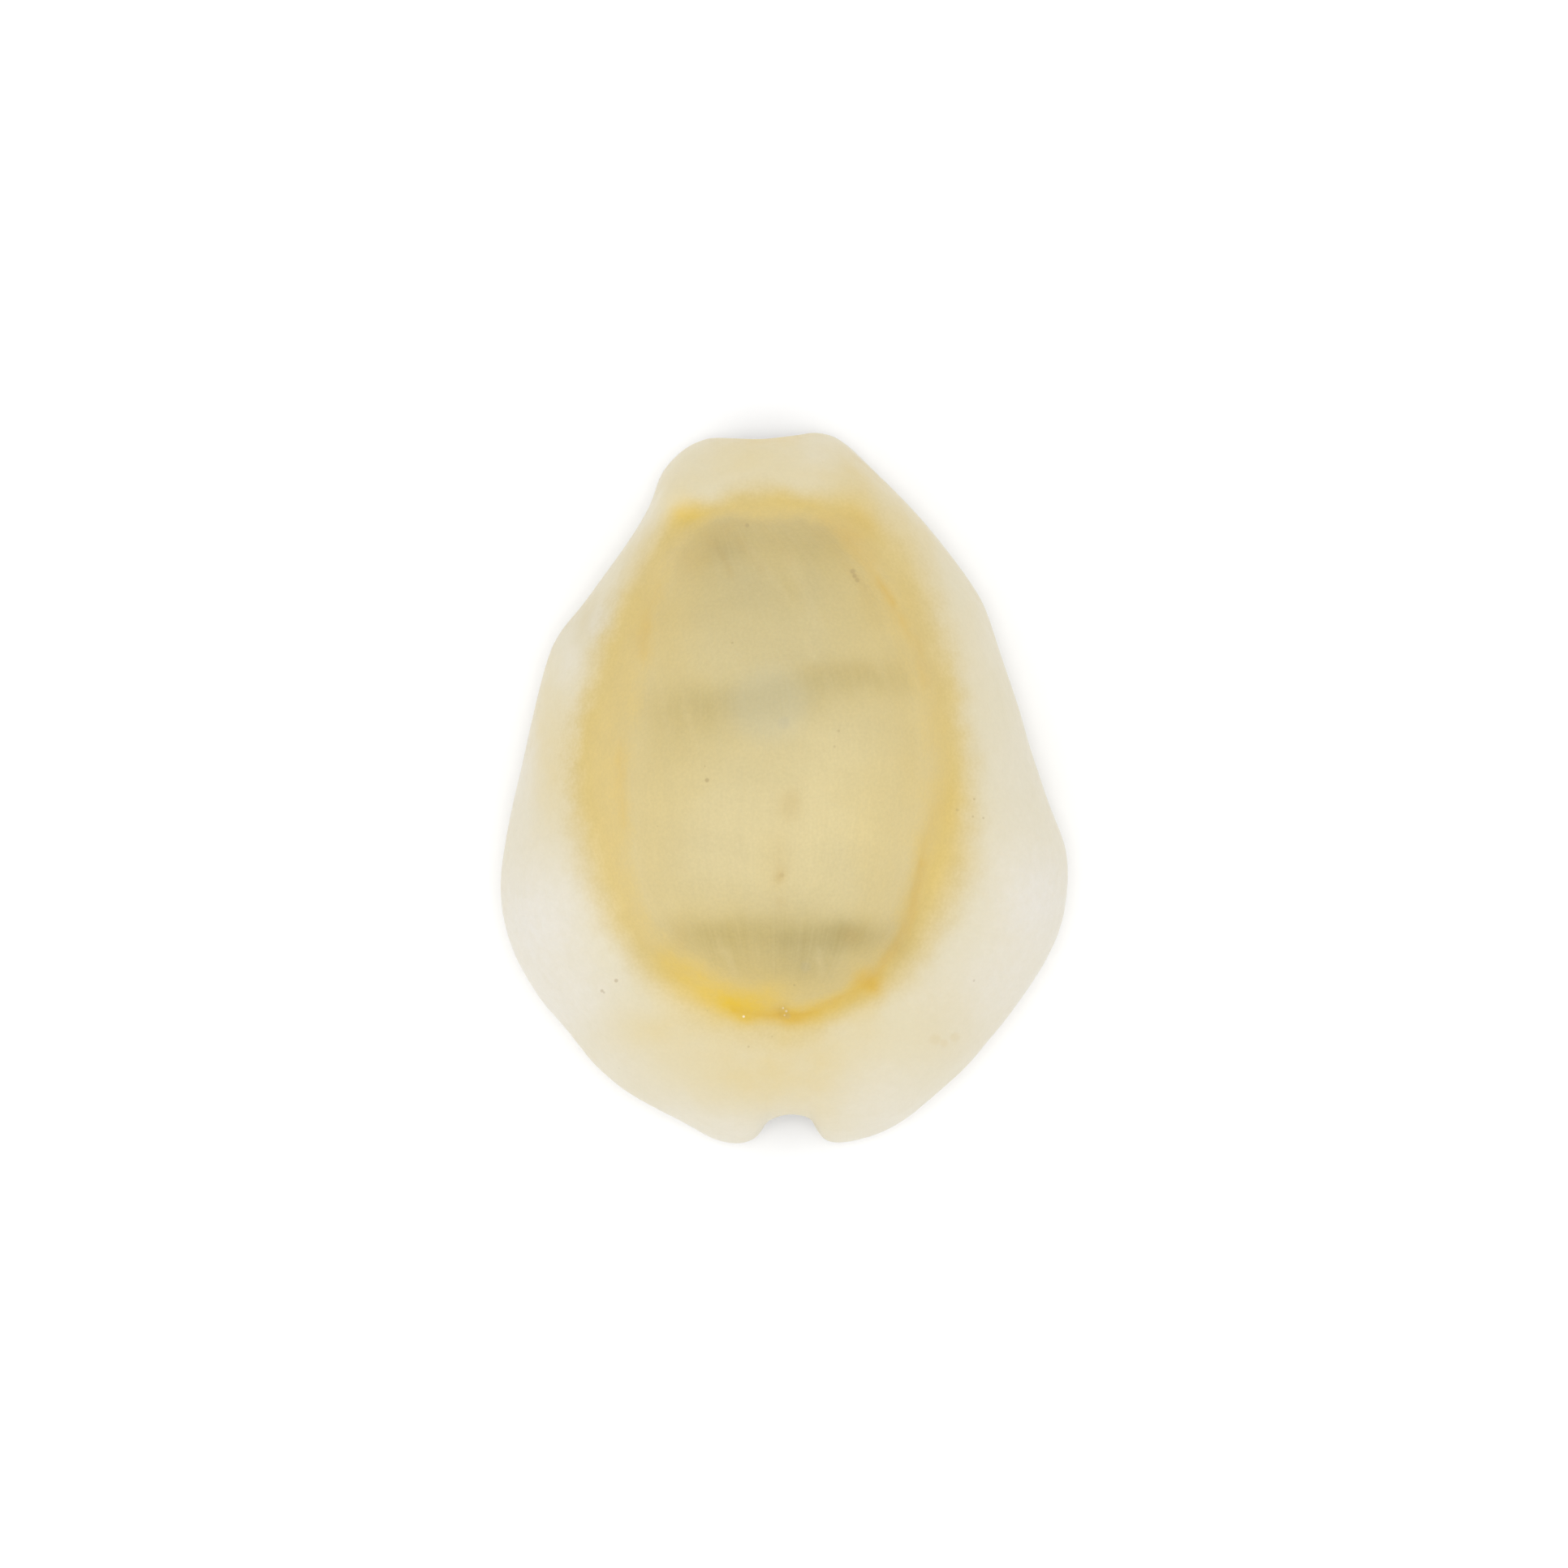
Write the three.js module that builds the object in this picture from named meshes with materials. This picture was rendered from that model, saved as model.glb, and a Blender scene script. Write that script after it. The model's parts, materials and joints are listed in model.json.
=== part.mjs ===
// A small cowrie shell with a heavy rim of callus, as one closed hollow body.
//
// Millimetres, +Z up. The shell rests on its lips at z = 0, with its domed back up.
// +Y points to the narrow front end, where the siphon came out, and +X to the outer lip.
// The origin is at the middle of the outline, on the surface that the shell rests on.
//
// The skin is a grid. Columns run round the shell, and rings follow one another from the
// crown, down the dome, over the callus, round the margin, along the base, across the teeth
// of the lips, through the slit and up the inner wall to the ceiling of the hollow.
// A patch of squares closes the grid at the crown, and another closes it at the ceiling.

import * as THREE from 'three';

// ---------------------------------------------------------------- driving dimensions

const LENGTH = 25.0;
const WIDTH = 19.83;
const HEIGHT = 12.3;

const CROWN = new THREE.Vector2(-0.25, -0.3);
const CAP_RADIUS = 0.45;
const CROWN_WALL = 1.0;

const SIDE_COLUMNS = 56;
const END_COLUMNS = 12;
const COLUMNS = 2 * (SIDE_COLUMNS + END_COLUMNS);

const COLUMNS_PER_TOOTH = 4;
const FIRST_TOOTH_COLUMN = 6;
const LAST_TOOTH_COLUMN = 50;
const TOOTH_REACH = 0.38;
const TOOTH_HEIGHT = 0.34;
const TOOTHLESS_LIP = 0.35;

const BASE_CURL = 0.6;
const BASE_CURL_START = 6.0;
const BASE_CURL_LENGTH = 6.3;

const MARGIN_HEIGHT = 3.2;

const CURVE_SAMPLES = 400;
const CANAL_BLEND_COLUMNS = 4;

// Each outline is listed from the back end of the outer lip, forwards along that side,
// across the front end, back along the other side and across the back end.
// 'corner' marks where a side meets an end.

// The widest line of the shell, with a deep notch between two lobes at the back end.
const MARGIN_LINE = [
  [1.95, -12.5, 1.9, 'corner'],
  [3.05, -12.29, 2.2],
  [4.1, -11.8, 2.6],
  [5.13, -10.97, 2.9],
  [7.56, -8.4, 3.1],
  [8.68, -6.9, 3.2],
  [9.55, -5.2, 3.2],
  [9.88, -3.6, 3.2],
  [9.84, -2.2, 3.2],
  [9.36, -0.69, 3.2],
  [8.79, 1.03, 3.2],
  [8.3, 2.74, 3.2],
  [7.33, 5.6, 3.2],
  [6.9, 6.65, 3.2],
  [6.1, 7.89, 3.1],
  [4.7, 9.6, 3.0],
  [3.3, 11.1, 2.7],
  [2.3, 12.05, 2.2],
  [1.75, 12.38, 1.9, 'corner'],
  [1.1, 12.5, 2.2],
  [0.35, 12.4, 2.9],
  [-0.85, 12.26, 3.4],
  [-2.1, 12.33, 2.7],
  [-2.75, 12.29, 2.0, 'corner'],
  [-3.3, 12.06, 2.3],
  [-3.85, 11.6, 2.6],
  [-4.32, 10.95, 2.85],
  [-4.6, 10.17, 3.0],
  [-5.24, 9.03, 3.1],
  [-6.87, 6.74, 3.1],
  [-7.95, 5.3, 3.1],
  [-8.36, 4.3, 3.2],
  [-8.79, 2.74, 3.2],
  [-9.24, 0.6, 3.2],
  [-9.6, -1.26, 3.2],
  [-9.9, -3.0, 3.2],
  [-9.84, -4.3, 3.2],
  [-9.44, -5.83, 3.2],
  [-8.6, -7.4, 3.1],
  [-7.39, -8.69, 3.0],
  [-6.39, -9.83, 3.0],
  [-5.7, -10.47, 2.9],
  [-4.44, -11.29, 2.7],
  [-3.36, -11.89, 2.5],
  [-2.55, -12.33, 2.1],
  [-1.8, -12.5, 1.9, 'corner'],
  [-1.15, -12.37, 2.1],
  [-0.85, -12.05, 2.6],
  [-0.52, -11.66, 3.2],
  [0.22, -11.45, 3.7],
  [0.9, -11.6, 3.3],
  [1.16, -12.05, 2.6],
  [1.5, -12.42, 2.1],
];

// The crease where the dome meets the callus.
const DOME_LINE = [
  [1.9, -7.45, 7.8, 'corner'],
  [3.3, -6.6, 7.9],
  [4.35, -5.1, 8.0],
  [5.15, -2.9, 8.1],
  [5.72, 0.0, 8.1],
  [5.7, 2.6, 7.9],
  [5.1, 5.3, 7.5],
  [4.0, 7.6, 6.9],
  [2.3, 9.5, 6.2, 'corner'],
  [0.8, 9.95, 6.0],
  [-0.5, 10.05, 5.95],
  [-1.9, 9.95, 6.0],
  [-3.1, 9.55, 6.2, 'corner'],
  [-4.25, 8.3, 6.7],
  [-5.1, 6.5, 7.2],
  [-6.4, 2.2, 8.0],
  [-6.65, -0.3, 8.2],
  [-6.35, -2.6, 8.2],
  [-5.6, -4.7, 8.1],
  [-4.3, -6.25, 8.0],
  [-1.9, -7.55, 7.8, 'corner'],
  [-0.7, -7.85, 7.75],
  [0.6, -7.85, 7.75],
];

// The edge of the slit. It runs low along both lips and arches over a canal at each end.
const SLIT_LINE = [
  [1.38, -12.0, 1.35, 'corner'],
  [1.22, -10.9, 1.15],
  [1.15, -9.6, 0.9],
  [1.55, -6.4, 0.8],
  [1.85, -2.0, 0.8],
  [1.72, 2.0, 0.8],
  [1.3, 6.0, 0.8],
  [0.85, 9.5, 0.95],
  [0.6, 11.7, 1.35, 'corner'],
  [0.4, 11.95, 2.05],
  [0.0, 12.0, 2.6],
  [-0.75, 11.95, 2.85],
  [-1.4, 12.0, 2.6],
  [-1.85, 11.92, 2.05],
  [-2.02, 11.65, 1.35, 'corner'],
  [-1.2, 9.5, 0.95],
  [-0.3, 6.0, 0.8],
  [0.33, 2.0, 0.8],
  [0.55, -2.0, 0.8],
  [0.22, -6.4, 0.8],
  [-0.35, -9.6, 0.9],
  [-0.8, -10.9, 1.15],
  [-1.08, -12.0, 1.35, 'corner'],
  [-0.95, -11.62, 2.05],
  [-0.6, -11.22, 2.65],
  [0.15, -11.02, 3.05],
  [0.9, -11.17, 2.75],
  [1.22, -11.55, 2.1],
];

// ---------------------------------------------------------------- rings in order

// The dome above the crease, as parts of the way from the crown to the crease.
const DOME_RADII = [CAP_RADIUS, 0.6, 0.74, 0.87];

// The callus from the crease to the margin, as parts of the way across and down.
const CALLUS_STEPS = [
  { across: 0.0, down: 0.0 },
  { across: 0.16, down: 0.09 },
  { across: 0.42, down: 0.23 },
  { across: 0.71, down: 0.44 },
  { across: 0.91, down: 0.71 },
];

// The base from the margin to the slit. 'rise' is the height over the crest of the lips
// and 'tooth' how much of the teeth's relief the ring takes.
const BASE_STEPS = [
  { lip: 0.0, rise: 3.2, tooth: 0.0 },
  { lip: 0.03, rise: 2.05, tooth: 0.0 },
  { lip: 0.13, rise: 1.0, tooth: 0.0 },
  { lip: 0.29, rise: 0.36, tooth: 0.0 },
  { lip: 0.46, rise: 0.0, tooth: 0.0 },
  { lip: 0.6, rise: 0.0, tooth: 0.0 },
  { lip: 0.74, rise: 0.03, tooth: 0.45 },
  { lip: 0.86, rise: 0.05, tooth: 0.95 },
  { lip: 0.95, rise: 0.2, tooth: 1.0 },
];

// The way from the slit to the widest ring of the hollow. The outer lip is a simple wall,
// and the other side is the thick roll that the shell is wound on.
const THROAT_STEPS = [
  { across: 0.02, outerLip: 2.1, roll: 2.2, canal: 0.2, tooth: 0.7 },
  { across: 0.09, outerLip: 3.2, roll: 3.7, canal: 0.45, tooth: 0.25 },
  { across: 0.33, outerLip: 3.9, roll: 5.0, canal: 0.75, tooth: 0.0 },
];

const HOLLOW_RADIUS = 0.92;
const HOLLOW_HEIGHT = { outerLip: 5.2, roll: 5.8, front: 4.5, back: 5.5 };
const HOLLOW_ENDS = { start: 4.5, full: 8.0 };

// The inner wall of the dome, as parts of the way from the crown and a drop below its skin.
const INNER_WALL = [
  { radius: 0.83, drop: 1.6 },
  { radius: 0.65, drop: 1.25 },
  { radius: CAP_RADIUS, drop: 1.08 },
];

// ---------------------------------------------------------------- small helpers

const smooth = (low, high, value) => THREE.MathUtils.smoothstep(value, low, high);
const mix = THREE.MathUtils.lerp;

// Points at even distances along one stretch of a curve, without its last point.
function evenPoints(curve, start, end, count) {
  const samples = [];
  const travelled = [0];
  for (let k = 0; k <= CURVE_SAMPLES; k += 1) {
    samples.push(curve.getPoint(mix(start, end, k / CURVE_SAMPLES) % 1));
    if (k > 0) travelled.push(travelled[k - 1] + samples[k].distanceTo(samples[k - 1]));
  }
  const points = [];
  let k = 0;
  for (let i = 0; i < count; i += 1) {
    const target = (travelled[CURVE_SAMPLES] * i) / count;
    while (travelled[k + 1] < target) k += 1;
    const part = (target - travelled[k]) / (travelled[k + 1] - travelled[k]);
    points.push(samples[k].clone().lerp(samples[k + 1], part));
  }
  return points;
}

// One smooth closed ring through an outline, with one point for each column.
function ringThrough(outline) {
  const anchors = outline.map(([x, y, z]) => new THREE.Vector3(x, y, z));
  const curve = new THREE.CatmullRomCurve3(anchors, true, 'centripetal');
  const corners = outline.flatMap((row, index) => (row[3] === 'corner' ? [index] : []));
  const stops = [...corners, outline.length].map((index) => index / outline.length);
  const counts = [SIDE_COLUMNS, END_COLUMNS, SIDE_COLUMNS, END_COLUMNS];
  return counts.flatMap((count, s) => evenPoints(curve, stops[s], stops[s + 1], count));
}

// ---------------------------------------------------------------- where a column lies

// How far a column is from the middle of the nearer end, counted in columns.
function columnsFromEnd(i) {
  const frontMiddle = SIDE_COLUMNS + END_COLUMNS / 2;
  const backMiddle = COLUMNS - END_COLUMNS / 2;
  const gap = (a, b) => Math.min(Math.abs(a - b), COLUMNS - Math.abs(a - b));
  return Math.min(gap(i, frontMiddle), gap(i, backMiddle));
}

// 1 on the lips, 0 under the arch of a canal.
function lipShare(i) {
  const corner = END_COLUMNS / 2;
  return smooth(corner - CANAL_BLEND_COLUMNS, corner + CANAL_BLEND_COLUMNS, columnsFromEnd(i));
}

const isOuterLip = (i) => i <= SIDE_COLUMNS;

// 1 on the crest of a tooth and 0 in the groove between two teeth. The smooth stretches of
// lip at both ends stand a little proud of the grooves.
function toothShare(i) {
  const along = isOuterLip(i) ? i : 2 * SIDE_COLUMNS + END_COLUMNS - i;
  const fromFirst = along - FIRST_TOOTH_COLUMN;
  if (fromFirst <= 0 || along >= LAST_TOOTH_COLUMN) return TOOTHLESS_LIP;
  return 0.5 - 0.5 * Math.cos((fromFirst / COLUMNS_PER_TOOTH) * 2 * Math.PI);
}

// The base curls up a little towards both ends.
function crestHeight(y) {
  return BASE_CURL * smooth(0, 1, (Math.abs(y) - BASE_CURL_START) / BASE_CURL_LENGTH);
}

// ---------------------------------------------------------------- the surfaces

const margin = ringThrough(MARGIN_LINE);
const domeEdge = ringThrough(DOME_LINE);
const slit = ringThrough(SLIT_LINE);

// The fall of the dome from the crown (0) to the crease (1).
const domeFall = (radius) => 0.74 * radius ** 2 + 0.26 * radius ** 4;

const domeHeight = (edgeHeight, radius) => HEIGHT - (HEIGHT - edgeHeight) * domeFall(radius);

function domeRing(radius, drop) {
  return domeEdge.map((edge) => new THREE.Vector3(
    mix(CROWN.x, edge.x, radius),
    mix(CROWN.y, edge.y, radius),
    domeHeight(edge.z, radius) - drop,
  ));
}

function callusRing({ across, down }) {
  return domeEdge.map((edge, i) => new THREE.Vector3(
    mix(edge.x, margin[i].x, across),
    mix(edge.y, margin[i].y, across),
    mix(edge.z, margin[i].z, down),
  ));
}

// The direction from the edge of the slit out over the lip, flat.
function outwards(i) {
  const flat = new THREE.Vector3(margin[i].x - slit[i].x, margin[i].y - slit[i].y, 0);
  return flat.normalize();
}

// Grooves between the teeth step back from the slit and up from the base.
function cutGroove(point, i, amount) {
  const groove = (1 - toothShare(i)) * amount * lipShare(i);
  point.addScaledVector(outwards(i), groove * TOOTH_REACH);
  return groove * TOOTH_HEIGHT;
}

function baseRing({ lip, rise, tooth }) {
  return margin.map((edge, i) => {
    const point = edge.clone().lerp(slit[i], lip);
    const crest = crestHeight(point.y);
    const onLip = crest + rise * ((edge.z - crest) / MARGIN_HEIGHT);
    const onArch = mix(edge.z, slit[i].z, lip);
    const groove = cutGroove(point, i, tooth);
    point.z = mix(onArch, onLip + groove, lipShare(i));
    return point;
  });
}

function slitRing() {
  return slit.map((edge, i) => {
    const point = edge.clone();
    point.z += cutGroove(point, i, 1);
    return point;
  });
}

function hollowRing() {
  const ring = domeRing(HOLLOW_RADIUS, 0);
  return ring.map((point, i) => {
    const side = isOuterLip(i) ? HOLLOW_HEIGHT.outerLip : HOLLOW_HEIGHT.roll;
    const end = point.y > 0 ? HOLLOW_HEIGHT.front : HOLLOW_HEIGHT.back;
    point.z = mix(side, end, smooth(HOLLOW_ENDS.start, HOLLOW_ENDS.full, Math.abs(point.y)));
    return point;
  });
}

function throatRing({ across, outerLip, roll, canal, tooth }, hollow) {
  return slit.map((edge, i) => {
    const share = lipShare(i);
    const part = mix(canal, across, share);
    const point = edge.clone().lerp(hollow[i], part);
    const onLip = (isOuterLip(i) ? outerLip : roll) + crestHeight(point.y);
    cutGroove(point, i, tooth);
    point.z = mix(mix(edge.z, hollow[i].z, part), onLip, share);
    return point;
  });
}

// ---------------------------------------------------------------- crown and ceiling

// The dome's edge in the direction of a plan position, as a distance and a height.
function edgeTowards(x, y) {
  const turn = (a) => (a + 4 * Math.PI) % (2 * Math.PI);
  const wanted = Math.atan2(y - CROWN.y, x - CROWN.x);
  for (let i = 0; i < COLUMNS; i += 1) {
    const here = domeEdge[i];
    const next = domeEdge[(i + 1) % COLUMNS];
    const hereAngle = Math.atan2(here.y - CROWN.y, here.x - CROWN.x);
    const nextAngle = Math.atan2(next.y - CROWN.y, next.x - CROWN.x);
    const step = turn(nextAngle - hereAngle);
    const into = turn(wanted - hereAngle);
    if (into <= step) {
      const point = here.clone().lerp(next, into / step);
      return { reach: Math.hypot(point.x - CROWN.x, point.y - CROWN.y), height: point.z };
    }
  }
  throw new Error('the dome line does not go round the crown');
}

function crownHeight(x, y) {
  const away = Math.hypot(x - CROWN.x, y - CROWN.y);
  if (away < 1e-6) return HEIGHT;
  const edge = edgeTowards(x, y);
  return domeHeight(edge.height, away / edge.reach);
}

// A blend of four sides (a Coons patch) fills the inside of a ring with a grid of points.
function patchPoints(ring, heightAt) {
  const sideA = SIDE_COLUMNS;
  const sideB = END_COLUMNS;
  const right = (u) => ring[u];
  const left = (u) => ring[2 * sideA + sideB - u];
  const front = (v) => ring[sideA + v];
  const back = (v) => ring[(COLUMNS - v) % COLUMNS];
  const rows = [];
  for (let u = 1; u < sideA; u += 1) {
    const row = [];
    const p = u / sideA;
    for (let v = 1; v < sideB; v += 1) {
      const q = v / sideB;
      const along = right(u).clone().lerp(left(u), q);
      const over = back(v).clone().lerp(front(v), p);
      const near = back(0).clone().lerp(back(sideB), q);
      const far = front(0).clone().lerp(front(sideB), q);
      const point = along.add(over).sub(near.lerp(far, p));
      point.z = heightAt(point.x, point.y);
      row.push(point);
    }
    rows.push(row);
  }
  return rows;
}

// ---------------------------------------------------------------- the closed skin

class Skin {
  constructor() {
    this.positions = [];
    this.indices = [];
  }

  addPoint(point) {
    this.positions.push(point.x, point.y, point.z);
    return this.positions.length / 3 - 1;
  }

  addPoints(points) {
    return points.map((point) => this.addPoint(point));
  }

  distance(a, b) {
    const at = (i) => new THREE.Vector3().fromArray(this.positions, 3 * i);
    return at(a).distanceTo(at(b));
  }

  // A square is split in two along its longer diagonal.
  addSquare(a, b, c, d) {
    if (this.distance(a, c) > this.distance(b, d)) this.indices.push(a, b, c, a, c, d);
    else this.indices.push(b, c, d, b, d, a);
  }

  addBand(upper, lower) {
    for (let i = 0; i < COLUMNS; i += 1) {
      const next = (i + 1) % COLUMNS;
      this.addSquare(upper[i], lower[i], lower[next], upper[next]);
    }
  }

  // 'outside' is true on the crown, whose squares face up, and false on the ceiling.
  addPatch(ringIds, innerIds, outside) {
    const at = (u, v) => {
      if (v === 0) return ringIds[u];
      if (v === END_COLUMNS) return ringIds[2 * SIDE_COLUMNS + END_COLUMNS - u];
      if (u === 0) return ringIds[COLUMNS - v];
      if (u === SIDE_COLUMNS) return ringIds[SIDE_COLUMNS + v];
      return innerIds[u - 1][v - 1];
    };
    for (let u = 0; u < SIDE_COLUMNS; u += 1) {
      for (let v = 0; v < END_COLUMNS; v += 1) {
        const square = [at(u, v), at(u + 1, v), at(u + 1, v + 1), at(u, v + 1)];
        if (!outside) square.reverse();
        this.addSquare(...square);
      }
    }
  }

  toGeometry() {
    const geometry = new THREE.BufferGeometry();
    geometry.setAttribute('position', new THREE.Float32BufferAttribute(this.positions, 3));
    geometry.setIndex(this.indices);
    return geometry;
  }
}

function shellRings() {
  const hollow = hollowRing();
  return [
    ...DOME_RADII.map((radius) => domeRing(radius, 0)),
    ...CALLUS_STEPS.map(callusRing),
    ...BASE_STEPS.map(baseRing),
    slitRing(),
    ...THROAT_STEPS.map((step) => throatRing(step, hollow)),
    hollow,
    ...INNER_WALL.map(({ radius, drop }) => domeRing(radius, drop)),
  ];
}

// Brings the outline to its exact length and width, centred, with the lips on z = 0.
function fitToSize(geometry) {
  geometry.computeBoundingBox();
  const box = geometry.boundingBox;
  const size = box.getSize(new THREE.Vector3());
  const middle = box.getCenter(new THREE.Vector3());
  geometry.translate(-middle.x, -middle.y, -box.min.z);
  geometry.scale(WIDTH / size.x, LENGTH / size.y, HEIGHT / size.z);
  return geometry;
}

function shellGeometry() {
  const skin = new Skin();
  const rings = shellRings();
  const ids = rings.map((ring) => skin.addPoints(ring));
  for (let k = 0; k < ids.length - 1; k += 1) skin.addBand(ids[k], ids[k + 1]);

  const crown = patchPoints(rings[0], crownHeight);
  skin.addPatch(ids[0], crown.map((row) => skin.addPoints(row)), true);

  const lastRing = rings.length - 1;
  const ceiling = patchPoints(rings[lastRing], (x, y) => {
    const away = Math.hypot(x - CROWN.x, y - CROWN.y);
    const part = away < 1e-6 ? 0 : away / edgeTowards(x, y).reach / CAP_RADIUS;
    return crownHeight(x, y) - mix(CROWN_WALL, INNER_WALL[INNER_WALL.length - 1].drop, part);
  });
  skin.addPatch(ids[lastRing], ceiling.map((row) => skin.addPoints(row)), false);

  const geometry = fitToSize(skin.toGeometry());
  geometry.computeVertexNormals();
  return geometry;
}

// ---------------------------------------------------------------- the part

const enamel = new THREE.MeshStandardMaterial({
  name: 'enamel',
  color: 0xe6dcb4,
  roughness: 0.3,
  metalness: 0,
});

const shell = new THREE.Mesh(shellGeometry(), enamel);
shell.name = 'cowrie_shell';

const part = new THREE.Group();
part.add(shell);

export default part;
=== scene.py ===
"""A small cowrie shell lying on its lips, with its domed back up.

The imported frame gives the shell's true form as loose triangles. A copy of it is merged into
squares and refined, its callus gets its swellings and its creases, and one enamel material
gives it its colours. Run from the text editor or with --python. The panel is in the sidebar
of the 3D view.
"""

import json
import math

import bmesh
import bpy
import numpy as np
from bpy.props import (
    FloatProperty,
    FloatVectorProperty,
    IntProperty,
    PointerProperty,
)
from bpy.types import Operator, Panel, PropertyGroup
from mathutils import Matrix, Vector, noise
from mathutils.bvhtree import BVHTree

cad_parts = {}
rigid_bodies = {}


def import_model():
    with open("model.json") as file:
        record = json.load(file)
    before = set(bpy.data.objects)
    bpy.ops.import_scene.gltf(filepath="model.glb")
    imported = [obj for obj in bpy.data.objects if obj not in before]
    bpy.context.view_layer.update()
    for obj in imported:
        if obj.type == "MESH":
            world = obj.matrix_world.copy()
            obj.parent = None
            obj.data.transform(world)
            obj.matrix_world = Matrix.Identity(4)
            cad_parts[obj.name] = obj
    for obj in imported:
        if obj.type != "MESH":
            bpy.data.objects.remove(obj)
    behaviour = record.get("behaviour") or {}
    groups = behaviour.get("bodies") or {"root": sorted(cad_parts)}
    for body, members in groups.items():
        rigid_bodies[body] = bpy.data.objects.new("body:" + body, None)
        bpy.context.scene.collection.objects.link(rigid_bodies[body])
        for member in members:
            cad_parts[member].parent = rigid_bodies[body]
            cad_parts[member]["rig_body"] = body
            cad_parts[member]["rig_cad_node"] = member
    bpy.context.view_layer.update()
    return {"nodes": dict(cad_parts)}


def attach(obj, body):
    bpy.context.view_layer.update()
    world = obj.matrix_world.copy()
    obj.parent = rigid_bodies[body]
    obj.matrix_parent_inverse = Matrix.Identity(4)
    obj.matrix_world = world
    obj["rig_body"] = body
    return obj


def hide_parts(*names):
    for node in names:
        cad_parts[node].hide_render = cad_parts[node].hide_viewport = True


bl_info = {
    "name": "Cowrie Shell",
    "version": (1, 0, 0),
    "blender": (4, 5, 0),
    "location": "View3D > Sidebar > Cowrie",
    "description": "Models a small cowrie shell with a heavy callus, and its studio stage",
    "category": "Object",
}

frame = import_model()

NODE = "cowrie_shell"
BODY = "root"

MM = 0.001
MERGE_DISTANCE = 1e-6

# ------------------------------------------------------------------ outlines, in millimetres
# Plan positions: x towards the outer lip, y towards the front end.

# The middle that the outlines of the back go round.
HUB = (-0.3, 1.2)

# Where the dome's colour ends and the ring begins, from the outer lip's side round by the front.
DOME_EDGE = [
    (4.95, 0.0), (4.95, 2.0), (4.5, 3.8), (3.85, 5.4), (3.2, 7.0), (2.3, 8.5), (1.3, 9.4),
    (-0.6, 9.45), (-2.6, 9.45), (-3.6, 8.6), (-4.25, 7.0), (-4.6, 5.2), (-5.1, 3.0),
    (-5.5, 1.2), (-5.5, -1.0), (-5.25, -3.2), (-4.7, -4.7), (-3.6, -5.8), (-2.2, -6.5),
    (-0.8, -7.15), (0.4, -7.6), (1.6, -7.35), (2.6, -6.75), (3.35, -5.8), (4.0, -4.3),
    (4.6, -2.2),
]

# Where the ring has faded half way into the callus.
RING_EDGE = [
    (6.65, 0.0), (6.42, 2.2), (6.15, 4.0), (5.6, 6.0), (5.1, 7.2), (4.15, 9.1), (2.7, 10.4),
    (1.2, 10.3), (-0.6, 10.7), (-2.0, 10.4), (-2.9, 10.0), (-4.2, 9.45), (-5.4, 7.9),
    (-6.3, 6.0), (-7.0, 4.0), (-7.6, 2.0), (-7.6, -0.6), (-7.1, -2.75), (-6.2, -4.9),
    (-4.9, -6.65), (-3.2, -8.0), (-1.4, -8.6), (0.3, -8.8), (2.0, -8.15), (3.5, -7.35),
    (4.7, -6.3), (5.6, -4.9), (6.55, -2.7),
]

# ------------------------------------------------------------------ soft spots, in millimetres
# Each is (x, y, reach along x, reach along y, strength).

# Where the ring is a clear yellow.
GOLD_SPOTS = [
    (-1.65, -7.6, 0.75, 0.45, 0.95), (-0.6, -7.4, 0.8, 0.5, 0.5), (-3.4, 9.6, 0.6, 0.5, 0.58),
    (-2.6, -7.0, 1.5, 0.7, 0.22), (0.2, 9.9, 1.6, 0.5, 0.1), (2.9, 9.7, 0.7, 0.7, 0.12),
    (5.2, -2.6, 0.6, 1.3, 0.12), (-2.3, -7.3, 0.8, 0.45, 0.3), (-1.25, -7.6, 0.55, 0.4, 0.72),
    (-3.6, -6.4, 0.8, 0.6, 0.25), (0.4, -7.9, 1.4, 0.35, 0.44), (5.75, -0.6, 0.5, 1.1, 0.12),
    (-0.6, 12.42, 1.5, 0.16, 0.25), (-4.8, 6.0, 0.6, 1.2, 0.18), (5.5, 2.4, 0.6, 1.6, 0.1),
    (4.3, 6.5, 0.6, 1.2, 0.1), (2.8, -6.75, 0.5, 0.4, 0.5),
]

# Where the ring is orange.
AMBER_SPOTS = [
    (2.95, -6.75, 0.45, 0.38, 0.85), (0.25, -7.95, 0.9, 0.28, 0.5), (2.5, 9.1, 0.9, 0.7, 0.2),
    (5.65, -0.6, 0.4, 0.9, 0.08), (-5.7, 0.6, 0.4, 1.0, 0.12), (-4.85, 5.3, 0.26, 0.7, 0.3),
]

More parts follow.
